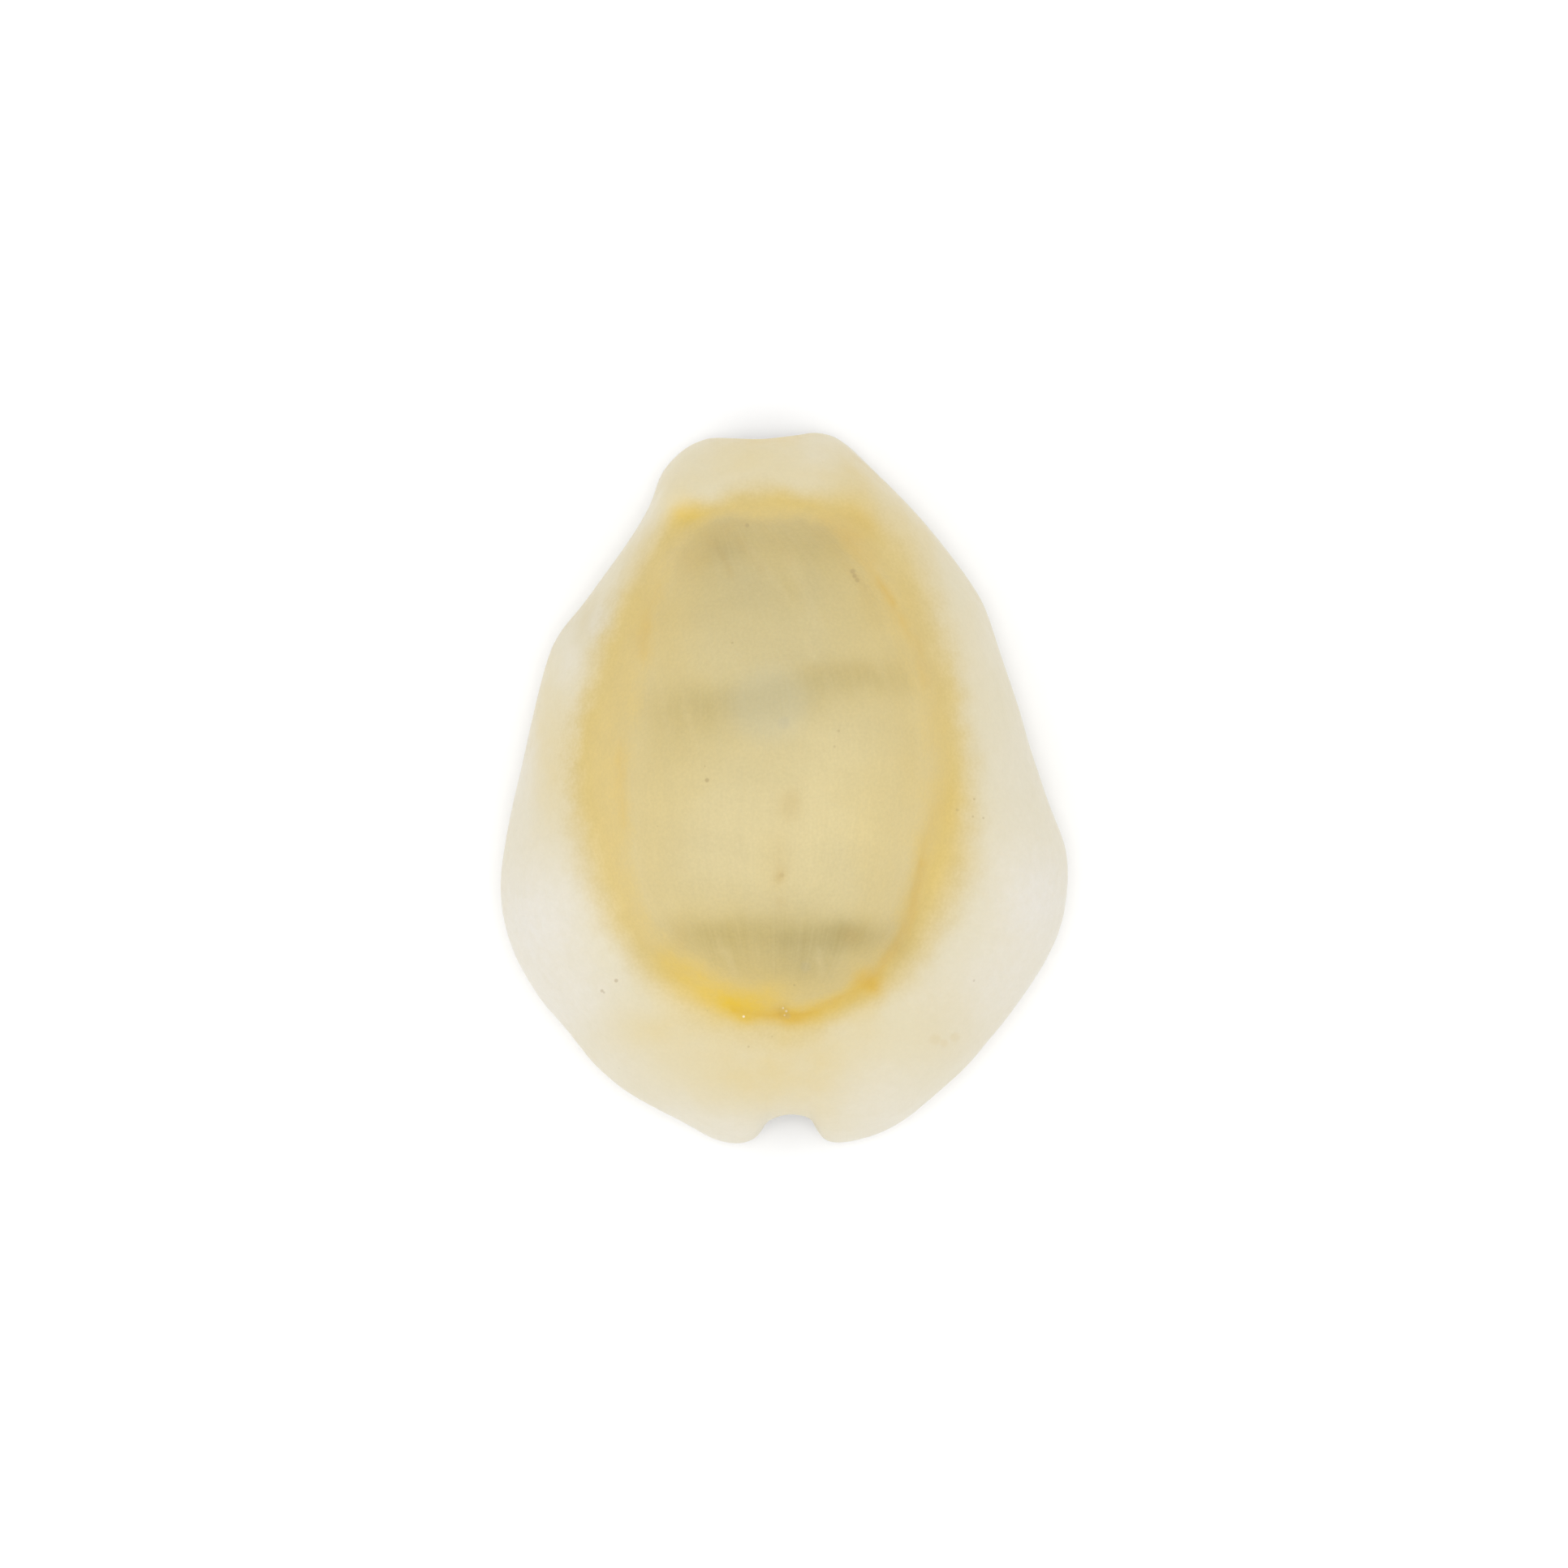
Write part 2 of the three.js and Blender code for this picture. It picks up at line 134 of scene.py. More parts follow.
# The grey-green bands of the dome.
SHADE_SPOTS = [
    (-2.4, -5.2, 1.9, 0.7, 0.68), (0.0, -5.1, 2.6, 0.7, 0.6), (2.5, -5.2, 1.2, 0.6, 0.85),
    (0.6, -6.3, 2.4, 1.0, 0.62), (-2.0, -6.2, 1.6, 0.6, 0.4), (0.0, -3.9, 3.4, 0.8, 0.1),
    (-3.3, 2.9, 1.9, 0.8, 0.38), (2.6, 3.9, 2.3, 0.55, 0.45), (-0.2, 3.1, 2.4, 0.9, 0.36),
    (-2.1, 8.7, 1.0, 0.8, 0.42), (-0.2, 9.0, 3.2, 0.8, 0.5), (1.7, 8.5, 1.2, 1.0, 0.32),
    (-0.4, 6.9, 5.2, 2.6, 0.33), (-4.0, 1.8, 1.0, 2.0, 0.12), (-0.8, 0.8, 1.6, 1.2, 0.14),
    (-2.0, 2.0, 1.8, 0.9, 0.15), (-3.8, 1.8, 1.4, 1.0, 0.14), (4.1, 3.6, 1.2, 0.6, 0.22),
    (0.3, 3.7, 1.2, 0.4, 0.14),
]

# Where the dome takes on the ring's colour.
TINGE_SPOTS = [
    (0.0, -7.0, 2.6, 0.75, 0.75), (3.1, -5.8, 0.9, 0.9, 0.65), (-3.2, 8.4, 0.9, 1.0, 0.75),
    (2.4, 8.6, 0.9, 0.9, 0.75), (3.4, 7.0, 0.6, 1.5, 0.72), (-4.2, 6.0, 0.6, 1.6, 0.5),
    (-3.0, 7.0, 1.0, 1.4, 0.3), (0.3, 7.1, 0.7, 0.8, 0.35),
    (4.2, 4.4, 0.7, 1.4, 0.55), (4.5, 1.4, 0.5, 2.2, 0.3), (0.0, 8.3, 2.4, 0.8, 0.45),
    (-2.2, -6.1, 1.6, 0.7, 0.45), (-1.0, -4.9, 3.0, 0.7, 0.25),
    (2.9, 7.0, 0.6, 0.9, 0.35), (-2.8, 9.0, 0.6, 0.5, 0.4), (4.7, 0.0, 0.5, 1.2, 0.2),
    (-0.5, -2.6, 0.6, 1.2, 0.15), (-1.2, -6.5, 1.2, 0.4, 0.3),
]

# Small brown scars and stains of the dome.
SCAR_SPOTS = [
    (0.2, -0.6, 0.35, 0.5, 0.28), (-0.16, -3.0, 0.2, 0.24, 0.3), (-0.05, -3.9, 0.2, 0.2, 0.15),
    (-0.1, -2.6, 0.4, 1.3, 0.12), (-3.65, -5.3, 0.25, 0.7, 0.35), (2.3, -5.15, 0.4, 0.3, 0.3),
    (2.2, 4.15, 1.2, 0.2, 0.16), (-3.3, 8.1, 0.7, 0.6, 0.25), (-0.3, -7.9, 0.35, 0.18, 0.3),
    (-2.5, 8.9, 0.7, 0.4, 0.2),
]

# Where the callus is thickest and white.
PALE_SPOTS = [
    (-8.7, -4.8, 1.9, 2.6, 0.95), (-7.6, -7.4, 1.7, 1.5, 0.65), (8.9, -4.0, 1.7, 2.5, 0.95),
    (7.6, -6.9, 2.0, 1.8, 0.6), (-6.6, 5.7, 0.35, 0.8, 0.28), (-7.5, 4.3, 0.5, 1.2, 0.42),
    (4.9, -7.2, 0.8, 0.7, 0.2), (-1.9, -12.1, 1.9, 0.8, 0.45), (3.6, -11.6, 2.2, 1.2, 0.45),
    (-9.2, 0.6, 0.6, 2.2, 0.45), (8.2, 0.6, 1.0, 2.8, 0.3), (6.9, 5.0, 0.7, 1.5, 0.2),
    (-4.9, 9.6, 0.5, 0.9, 0.2), (-5.2, -10.2, 1.6, 1.0, 0.15), (6.5, -9.4, 1.5, 1.3, 0.2),
    (3.6, -10.2, 1.4, 0.9, 0.25), (-6.0, -9.4, 1.0, 0.8, 0.2), (-3.9, -11.2, 1.2, 0.6, 0.25),
    (1.2, 11.6, 0.9, 0.5, 0.2), (-6.5, 5.9, 0.4, 0.7, 0.2),
]

# Where the callus is yellowed.
WARM_SPOTS = [
    (-0.6, -9.9, 3.0, 1.4, 0.8), (-4.4, -8.5, 1.7, 0.9, 0.55), (0.6, -8.9, 2.2, 0.6, 0.6),
    (-3.0, -8.3, 1.6, 0.5, 0.4), (4.3, -6.7, 0.8, 0.7, 0.25), (1.2, -11.2, 0.9, 0.9, 0.3),
    (-1.0, 11.5, 2.8, 0.9, 0.5), (-0.9, 12.3, 2.0, 0.35, 0.6), (2.6, 11.0, 1.4, 1.1, 0.85),
    (-8.2, 1.4, 0.8, 2.6, 0.7), (4.6, 9.0, 1.2, 2.0, 0.6), (5.7, -8.8, 1.6, 1.0, 0.2),
    (-4.6, 8.9, 0.9, 1.5, 0.4), (6.6, 5.0, 0.6, 2.6, 0.25), (5.5, -7.4, 1.5, 0.9, 0.25),
    (-6.9, 6.2, 0.6, 1.2, 0.42), (2.9, -8.0, 0.7, 0.7, 0.4),
    (-3.6, -9.4, 1.2, 0.6, 0.2), (1.3, -9.4, 0.8, 0.6, 0.3), (-3.6, 10.4, 0.8, 0.6, 0.3),
]

# Where the colour is lighter, or darker if the strength is under 0. The lighter spot on the
# middle of the dome, at (2.0, -1.0), is a painted soft highlight.
TONE_AND_HIGHLIGHT_SPOTS = [
    (2.0, -1.0, 1.6, 1.6, 0.4), (4.8, -1.4, 1.1, 2.4, 0.4), (-5.9, -3.7, 1.1, 2.0, 0.6),
    (-3.1, -7.2, 1.2, 0.7, 0.5), (-6.2, 0.0, 0.9, 2.2, 0.42), (-3.6, 9.8, 0.8, 0.5, 0.5),
    (4.0, -5.5, 0.6, 0.9, -0.8), (-1.0, 8.2, 3.2, 1.4, -0.3), (2.6, -5.0, 1.0, 0.6, -0.4),
    (-0.5, 9.95, 2.7, 0.45, 0.45), (-7.0, 6.0, 0.9, 1.0, -0.6), (-4.8, 6.3, 0.8, 1.2, -0.35),
    (5.8, 0.6, 0.8, 2.4, 0.3), (5.2, -3.0, 0.8, 1.2, 0.3), (-3.0, 7.2, 1.2, 1.2, -0.2),
    (0.3, 7.1, 0.8, 0.8, 0.3), (0.2, -6.3, 0.4, 0.5, 0.25), (2.8, -5.7, 0.8, 0.4, -0.3),
    (3.0, -2.6, 0.8, 1.4, 0.15), (1.5, 0.2, 0.8, 0.8, 0.15), (2.6, 11.2, 1.0, 0.7, -0.25),
]

# Where the outer edge of the ring is sharper than it is elsewhere.
CRISP_SPOTS = [
    (-7.4, 1.5, 1.6, 2.8, 0.85), (-6.4, 5.8, 1.4, 1.6, 0.75), (6.4, 3.4, 1.0, 2.0, 0.4),
]

# ------------------------------------------------------------------ soft strokes
# Each is (width, strength, path).

GOLD_STROKES = [
    (0.42, 0.35, [(-4.0, -5.95), (-3.2, -6.55), (-2.3, -7.05), (-1.4, -7.5)]),
    (0.24, 0.45, [(0.3, -7.8), (1.2, -7.65), (2.0, -7.3), (2.6, -6.95)]),
]

AMBER_STROKES = [
    (0.17, 0.4, [(-1.7, -7.75), (-0.7, -7.9), (0.6, -7.9), (1.6, -7.6), (2.4, -7.15)]),
    (0.2, 0.42, [(2.5, -7.1), (3.1, -6.55), (3.85, -5.6), (4.45, -4.4), (4.85, -2.6)]),
    (0.2, 0.15, [(4.85, -2.6), (5.05, -1.6), (5.3, -0.6)]),
    (0.13, 0.55, [(3.15, 7.25), (3.45, 6.85), (3.75, 6.4)]),
    (0.18, 0.22, [(2.2, 8.7), (2.8, 7.9), (3.3, 7.1), (4.0, 6.0)]),
    (0.16, 0.25, [(4.1, 6.0), (4.7, 4.9), (5.0, 3.6)]),
    (0.16, 0.16, [(-4.4, 7.0), (-4.75, 5.9), (-5.0, 4.6)]),
    (0.3, 0.2, [(1.4, 9.35), (2.3, 8.8), (3.0, 8.1)]),
    (0.15, 0.2, [(-5.6, 1.6), (-5.66, 0.4), (-5.6, -1.2)]),
]

# Darker growth lines of the dome.
UMBER_STROKES = [
    (0.12, 0.26, [(-2.3, 9.05), (-1.3, 9.3), (0.2, 9.4), (1.4, 9.3)]),
    (0.13, 0.3, [(1.4, 9.3), (2.2, 8.75), (2.7, 8.1)]),
    (0.13, 0.36, [(2.35, 7.7), (2.6, 7.2), (2.95, 6.6)]),
    (0.12, 0.18, [(3.0, 6.6), (3.6, 5.6), (4.2, 4.4)]),
    (0.12, 0.2, [(-1.9, 8.9), (-1.2, 8.3), (-0.7, 7.6)]),
    (0.12, 0.22, [(-2.8, 8.9), (-2.2, 8.2), (-1.8, 7.4)]),
    (0.12, 0.18, [(-0.7, 9.2), (-0.1, 8.5), (0.3, 7.8)]),
    (0.12, 0.2, [(0.7, 9.2), (1.5, 8.7), (2.2, 7.8)]),
]

# Lighter growth lines of the dome.
SHEEN_STROKES = [
    (0.13, 0.26, [(-1.2, 8.4), (-0.2, 7.1), (0.6, 5.8), (1.0, 4.6)]),
    (0.3, 0.22, [(0.2, 8.0), (0.7, 6.9), (1.3, 5.4)]),
    (0.1, 0.35, [(-4.35, 3.6), (-4.15, 2.7), (-3.95, 1.9)]),
    (0.1, 0.3, [(-3.5, 3.2), (-3.3, 2.4), (-3.0, 1.4)]),
    (0.12, 0.35, [(-4.75, -2.0), (-4.4, -3.2), (-3.8, -4.3)]),
    (0.14, 0.45, [(-2.2, -5.4), (-1.9, -5.9), (-1.6, -6.5)]),
    (0.1, 0.3, [(1.2, -5.7), (1.25, -6.6)]),
    (0.12, 0.3, [(2.9, 5.2), (3.4, 4.2), (3.8, 2.9)]),
    (0.12, 0.3, [(3.3, -0.4), (3.5, -2.0), (3.3, -3.6)]),
]

# ------------------------------------------------------------------ places of the relief
# Soft spots again. The lumps of the margin, the sharp stretches of the crease round the dome,
# and the pit that is left of the spire.

LUMPS = [
    (9.0, -2.8, 1.4, 1.9, 0.5), (-9.0, -3.8, 1.3, 2.2, 0.4), (-6.2, -9.3, 1.6, 1.2, 0.4),
    (5.6, -9.3, 1.8, 1.4, 0.5), (-3.6, 10.6, 1.0, 1.2, 0.4), (4.6, -7.4, 1.2, 1.0, 0.5),
    (-6.6, 4.0, 0.9, 1.2, 0.4), (5.9, 5.4, 0.8, 1.3, 0.4),
]

SHARP_CREASE = [
    (-2.4, -7.2, 2.4, 1.2, 0.8), (1.0, -7.8, 2.0, 1.2, 0.9), (3.4, -6.2, 1.2, 1.6, 1.0),
    (4.8, -3.4, 0.9, 2.0, 0.8), (-3.4, 9.6, 1.2, 0.9, 0.5), (2.6, 9.2, 1.2, 1.2, 0.5),
    (-4.8, 6.0, 0.9, 1.6, 0.3), (-5.7, 0.5, 0.8, 2.0, 0.25),
]

SPIRE_PIT = [(0.02, -7.8, 0.3, 0.24, 1.0)]

# Grains and stains drawn in the enamel: (x, y, radius, strength, tint).
SPECKS = [
    (-2.67, 0.29, 0.09, 0.4, "brown"), (0.0, 2.27, 0.26, 0.18, "grey"),
    (-0.08, -3.0, 0.1, 0.15, "brown"), (1.9, 2.0, 0.06, 0.25, "brown"),
    (2.4, 7.58, 0.11, 0.32, "brown"), (2.46, 7.42, 0.1, 0.32, "brown"),
    (2.55, 7.27, 0.1, 0.28, "brown"), (-1.29, 9.2, 0.09, 0.28, "brown"),
    (0.75, -6.2, 0.22, 0.14, "grey"), (0.36, -6.85, 0.05, 0.28, "brown"),
    (6.65, -0.37, 0.05, 0.32, "brown"), (6.05, -0.75, 0.06, 0.25, "brown"),
    (6.6, -0.98, 0.05, 0.3, "brown"), (6.97, -1.03, 0.05, 0.28, "brown"),
    (-6.37, -7.08, 0.07, 0.35, "brown"), (-6.3, -7.14, 0.05, 0.28, "brown"),
    (-5.87, -6.72, 0.08, 0.38, "brown"), (-1.41, -7.97, 0.05, 0.5, "white"),
    (-0.03, -7.67, 0.045, 0.28, "white"), (0.08, -7.78, 0.05, 0.28, "white"),
    (0.02, -7.92, 0.04, 0.22, "white"), (0.14, -7.95, 0.12, 0.14, "grey"),
    (-0.02, -7.84, 0.26, 0.1, "brown"), (5.3, -8.8, 0.24, 0.14, "yellow"),
    (5.62, -8.93, 0.17, 0.16, "yellow"), (6.0, -8.72, 0.2, 0.14, "yellow"),
    (-1.24, -9.03, 0.05, 0.28, "brown"), (1.75, 1.45, 0.06, 0.2, "brown"),
    (-0.5, 2.95, 1.6, 0.17, "haze"),
]

# ------------------------------------------------------------------ settings


def length(name, description, default, least=0.0):
    return FloatProperty(
        name=name, description=description, default=default, min=least,
        subtype="DISTANCE", unit="LENGTH",
    )


def amount(name, description, default, least=0.0, **settings):
    return FloatProperty(
        name=name, description=description, default=default, min=least, **settings,
    )


def colour_of(name, description, default):
    return FloatVectorProperty(
        name=name, description=description, default=default,
        subtype="COLOR", size=3, min=0.0, max=1.0,
    )


class CowrieForm(PropertyGroup):
    """Sizes of the shell's own relief."""

    refine: IntProperty(
        name="Refinement", description="How many times the squares are divided",
        default=2, min=1, max=2,
    )
    swell_height: length(
        "Callus swell", "Height of the broad unevenness of the callus", 0.00022,
    )
    swell_size: length("Swell size", "Distance from one swell to the next", 0.0035, 0.0001)
    lump_height: length(
        "Lump height", "Height of the lumps at the corners of the margin", 0.00028,
    )
    crease_depth: length(
        "Crease depth", "Depth of the crease where the callus meets the dome", 0.0001,
    )
    pit_depth: length("Spire pit depth", "Depth of the pit that is left of the spire", 0.0001)
    line_depth: length(
        "Growth line depth", "Relief of the fine growth lines on the dome", 0.000008,
    )


class CowrieColours(PropertyGroup):
    """Colours of the enamel."""

    straw: colour_of("Dome straw", "The dome's pale yellow", (0.555, 0.465, 0.236))
    olive: colour_of(
        "Dome olive", "The grey-green of the dome's bands", (0.338, 0.264, 0.083),
    )
    umber: colour_of(
        "Dome umber", "The brown of small scars and stains", (0.407, 0.268, 0.065),
    )
    ochre: colour_of("Ring ochre", "The yellow of the ring", (0.555, 0.421, 0.139))
    gold: colour_of(
        "Ring gold", "The clear yellow of the ring's brightest places", (0.62, 0.41, 0.014),
    )
    amber: colour_of(
        "Ring amber", "The orange of the ring's deepest places", (0.545, 0.33, 0.02),
    )
    cream: colour_of("Callus cream", "The callus", (0.606, 0.546, 0.379))
    pale: colour_of("Callus white", "The thickest callus", (0.647, 0.615, 0.546))
    warm: colour_of("Callus yellow", "The yellowed callus", (0.606, 0.495, 0.245))
    hollow: colour_of("Hollow", "The inside of the shell", (0.518, 0.481, 0.463))
    roughness: amount("Roughness", "How dull the enamel is", 0.3, max=1.0)
    translucency: amount(
        "Translucency", "Share of the light that passes under the enamel", 0.12, max=1.0,
    )


class CowrieStage(PropertyGroup):
    """The studio."""

    floor_colour: colour_of("Floor", "Colour of the floor", (0.93, 0.93, 0.93))
    floor_reach: length("Floor reach", "Radius of the floor", 3.0)
    sky_light: amount("Sky light", "Strength of the even white light", 1.0)
    key_light: amount("Key light", "Power of the large soft lamp, in watts", 1.8)
    top_light: amount("Top light", "Power of the lamp right above, in watts", 2.0)
    lens: amount("Lens", "Focal length of the camera, in millimetres", 400.0, 20.0)
    field: length("Field", "Width that the picture shows at the shell's margin", 0.0552)


# ------------------------------------------------------------------ working by hand


def deselect_all():
    if bpy.context.mode != "OBJECT":
        bpy.ops.object.mode_set(mode="OBJECT")
    bpy.ops.object.select_all(action="DESELECT")


def make_active(obj):
    deselect_all()
    obj.select_set(True)
    bpy.context.view_layer.objects.active = obj


def apply_modifier(obj, kind, **settings):
    make_active(obj)
    bpy.ops.object.modifier_add(type=kind)
    modifier = obj.modifiers[-1]
    for key, value in settings.items():
        setattr(modifier, key, value)
    bpy.ops.object.modifier_apply(modifier=modifier.name)


def vertex_rows(obj, name):
    """Three numbers of each vertex, one row each."""
    flat = np.empty(len(obj.data.vertices) * 3)
    obj.data.vertices.foreach_get(name, flat)
    return flat.reshape(-1, 3)


def vertex_positions(obj):
    """Vertex positions in millimetres."""
    return vertex_rows(obj, "co") / MM


# ------------------------------------------------------------------ fields over the shell


def soft_spot(points, x, y, reach_x, reach_y):
    """1 in the middle of a spot, fading to 0 round it."""
    distance = ((points[:, 0] - x) / reach_x) ** 2 + ((points[:, 1] - y) / reach_y) ** 2
    return np.exp(-distance)


def spot_field(points, spots):
    """A value for each point: soft round spots, joined so that they never pass 1."""
    free = np.ones(len(points))
    for *shape, strength in spots:
        free *= 1 - strength * soft_spot(points, *shape)
    return 1 - free


def tone_field(points, spots):
    """A value for each point, over 0 where it is lighter and under 0 where it is darker."""
    return sum(strength * soft_spot(points, *shape) for *shape, strength in spots)


def stroke_field(points, strokes):
    """A value for each point: soft lines, joined so that they never pass 1."""
    free = np.ones(len(points))
    for width, strength, path in strokes:
        nearest = np.full(len(points), np.inf)
        for start, end in zip(path, path[1:]):
            span = np.subtract(end, start)
            offset = points[:, :2] - start
            share = np.clip(offset @ span / (span @ span), 0, 1)
            away = np.hypot(*(offset - share[:, None] * span).T)
            nearest = np.minimum(nearest, away)
        free *= 1 - strength * np.exp(-((nearest / width) ** 2))
    return 1 - free


def joined(first, second):
    return 1 - (1 - first) * (1 - second)


# How the edges of creases and colours waver, in millimetres, and how strong the fine half of
# it is beside the broad half.
WAVER_SIZE = 0.9
WAVER_REACH = 0.14
WAVER_FINE = 0.5
# Where the noise is read for the move along x, y and z. The module's own vector noise isn't
# used, because it isn't the same from one run to the next.
WAVER_SHIFTS = (Vector((9.3, -1.5, -8.0)), Vector((0.0, 4.1, 2.7)), Vector((-7.1, 3.2, 1.3)))


def wavered(points, size, reach):
    """Places moved about a little, so that whatever is drawn at them has natural edges."""
    moved = points.copy()
    for i, point in enumerate(points):
        broad = Vector(point / size)
        fine = broad * 2
        for axis, shift in enumerate(WAVER_SHIFTS):
            move = noise.noise(broad + shift) + WAVER_FINE * noise.noise(fine + shift)
            moved[i, axis] += reach * move
    return moved


# An outline is read at this many angles, and its corners are rounded over this many of them.
OUTLINE_STEPS = 2881
ROUNDING_STEPS = 35


def outline_reach(outline, angles):
    """How far an outline is from the hub at each angle."""
    around = [
        (math.atan2(y - HUB[1], x - HUB[0]), math.hypot(x - HUB[0], y - HUB[1]))
        for x, y in outline
    ]
    around.sort()
    turn = 2 * math.pi
    wrapped = [(a - turn, r) for a, r in around] + around + [(a + turn, r) for a, r in around]
    at = np.array([a for a, _ in wrapped])
    reach = np.array([r for _, r in wrapped])
    fine = np.linspace(-turn, turn, OUTLINE_STEPS)
    even = np.pad(np.interp(fine, at, reach), ROUNDING_STEPS // 2, mode="edge")
    rounding = np.hanning(ROUNDING_STEPS)
    even = np.convolve(even, rounding / rounding.sum(), mode="valid")
    return np.interp(angles, fine, even)


def ring_position(points):
    """0 at the dome's edge, 1 where the ring has faded half way, more than 1 on the callus."""
    dx = points[:, 0] - HUB[0]
    dy = points[:, 1] - HUB[1]
    angles = np.arctan2(dy, dx)
    away = np.hypot(dx, dy)
    inner = outline_reach(DOME_EDGE, angles)
    outer = outline_reach(RING_EDGE, angles)
    return (away - inner) / (outer - inner)


# The dome's growth lines meet this far in front of its middle and behind it, are spread this
# far to each side of it, and lean to one side at the front. All in millimetres.
GROWTH_REACH = 9.6
GROWTH_HALF_WIDTH = 6.4
GROWTH_LEAN = 2.3
# The share of the reach where they stop drawing together, and how they change with height.
GROWTH_LIMIT = 0.985
GROWTH_RISE = 0.02


def growth_position(points):
    """Across and along the dome, so that lines at an even 'across' meet at both ends."""
    along = np.clip((points[:, 1] - HUB[1]) / GROWTH_REACH, -GROWTH_LIMIT, GROWTH_LIMIT)
    half_width = GROWTH_HALF_WIDTH * np.sqrt(1 - along**2)
    lean = GROWTH_LEAN * np.clip(along, 0, 1) ** 2
    across = (points[:, 0] - HUB[0] + lean) / half_width
    return np.stack([across, along, points[:, 2] * GROWTH_RISE], axis=1)


def eased(values, low, high):
    """0 up to low, 1 from high on, and a smooth step between them."""
    share = np.clip((values - low) / (high - low), 0, 1)
    return share * share * (3 - 2 * share)


# How far off the surface a line of sight starts.
SIGHT_GAP = 0.02 * MM


def sees_sky(tree, points, direction):
    """1 for each point from which a straight line that way meets no shell, else 0."""
    nudge = Vector(direction) * SIGHT_GAP
    free = np.empty(len(points))
    for i, point in enumerate(points):
        hit = tree.ray_cast(Vector(point * MM) + nudge, Vector(direction))
        free[i] = hit[0] is None
    return free


def blurred(obj, values, rounds):
    """Each vertex takes the mean of itself and its neighbours, several times over."""
    edges = np.empty(len(obj.data.edges) * 2, dtype=np.int64)
    obj.data.edges.foreach_get("vertices", edges)
    first, second = edges.reshape(-1, 2).T
    count = np.bincount(edges, minlength=len(values)) + 1
    for _ in range(rounds):
        total = values.copy()
        total += np.bincount(first, weights=values[second], minlength=len(values))
        total += np.bincount(second, weights=values[first], minlength=len(values))
        values = total / count
    return values


def store(obj, name, values):
    """Keeps one number, or three, for each vertex as an attribute of the mesh."""
    kind = "FLOAT" if values.ndim == 1 else "FLOAT_VECTOR"
    layer = obj.data.attributes.new(name, kind, "POINT")
    layer.data.foreach_set("value" if kind == "FLOAT" else "vector", values.ravel())


# A vertex group is painted in this many steps.
WEIGHT_STEPS = 50


def weigh(obj, name, values):
    """Paints a vertex group with values from 0 to 1."""
    group = obj.vertex_groups.new(name=name)
    steps = np.clip(np.round(values * WEIGHT_STEPS), 0, WEIGHT_STEPS).astype(int)
    for step in range(1, WEIGHT_STEPS + 1):
        members = np.nonzero(steps == step)[0].tolist()
        if members:
            group.add(members, step / WEIGHT_STEPS, "REPLACE")
    return group.name


# ------------------------------------------------------------------ the shell's form


def copy_frame_node(name):
    """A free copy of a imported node, as an object of its own."""
    make_active(frame["nodes"][name])
    bpy.ops.object.duplicate(linked=False)
    shell = bpy.context.active_object
    shell.parent = None
    shell.matrix_world = Matrix.Identity(4)
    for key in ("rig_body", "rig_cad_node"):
        if key in shell:
            del shell[key]
    shell.name = "shell"
    shell.data.name = "shell"
    shell.data.materials.clear()
    return shell


# The most that a corner is pushed out before refining, in millimetres.
LARGEST_SINK = 0.15


def longest_edge(face):
    return max(face.edges, key=lambda edge: edge.calc_length())


def join_into_squares(shell):
    """Merges the loose triangles and takes out the diagonals, so that squares are left."""
    make_active(shell)
    bpy.ops.object.mode_set(mode="EDIT")
    bpy.ops.mesh.select_mode(type="EDGE")
    bpy.ops.mesh.select_all(action="SELECT")
    bpy.ops.mesh.remove_doubles(threshold=MERGE_DISTANCE)
    bpy.ops.mesh.select_all(action="DESELECT")
    mesh = bmesh.from_edit_mesh(shell.data)
    longest = {face: longest_edge(face) for face in mesh.faces}
    for edge in mesh.edges:
        edge.select = all(longest[face] == edge for face in edge.link_faces)
    bmesh.update_edit_mesh(shell.data)
    bpy.ops.mesh.dissolve_edges(use_verts=False, use_face_split=False)
    bpy.ops.mesh.select_all(action="SELECT")
    bpy.ops.mesh.tris_convert_to_quads(
        face_threshold=math.pi, shape_threshold=math.pi, topology_influence=2.0,
    )
    bpy.ops.object.mode_set(mode="OBJECT")


def swell_cage(shell, refine):
    """Pushes the squares out where refining draws them in, so that the size is kept."""
    cage = vertex_positions(shell)
    normals = vertex_rows(shell, "normal")
    make_active(shell)
    bpy.ops.object.duplicate(linked=False)
    trial = bpy.context.active_object
    apply_modifier(trial, "SUBSURF", levels=refine, render_levels=refine)
    refined = vertex_positions(trial)[: len(cage)]
    bpy.ops.object.delete()
    sink = np.einsum("ij,ij->i", cage - refined, normals)
    for name, side in (("drawn_in", 1), ("drawn_out", -1)):
        depth = np.clip(side * sink, 0, LARGEST_SINK)
        apply_modifier(
            shell, "DISPLACE", strength=side * LARGEST_SINK * MM, mid_level=0.0,
            vertex_group=weigh(shell, name, depth / LARGEST_SINK),
        )


# How upright a surface is when it starts to belong to the back, and when it wholly does.
BACK_FROM = -0.35
BACK_TO = 0.2
# How often the two outlooks are blurred, so that they have soft edges.
SKY_BLUR = 12
HOLLOW_BLUR = 6


def outlooks(shell):
    """How far each place belongs to the back, and how far it is shut in by the shell."""
    tree = BVHTree.FromObject(shell, bpy.context.evaluated_depsgraph_get())
    points = vertex_positions(shell)
    open_above = sees_sky(tree, points, (0, 0, 1))
    open_below = sees_sky(tree, points, (0, 0, -1))
    near_sky = np.clip(2 * blurred(shell, open_above, SKY_BLUR), 0, 1)
    upward = eased(vertex_rows(shell, "normal")[:, 2], BACK_FROM, BACK_TO)
    shut_in = (1 - open_above) * (1 - open_below)
    return near_sky * upward, blurred(shell, shut_in, HOLLOW_BLUR)


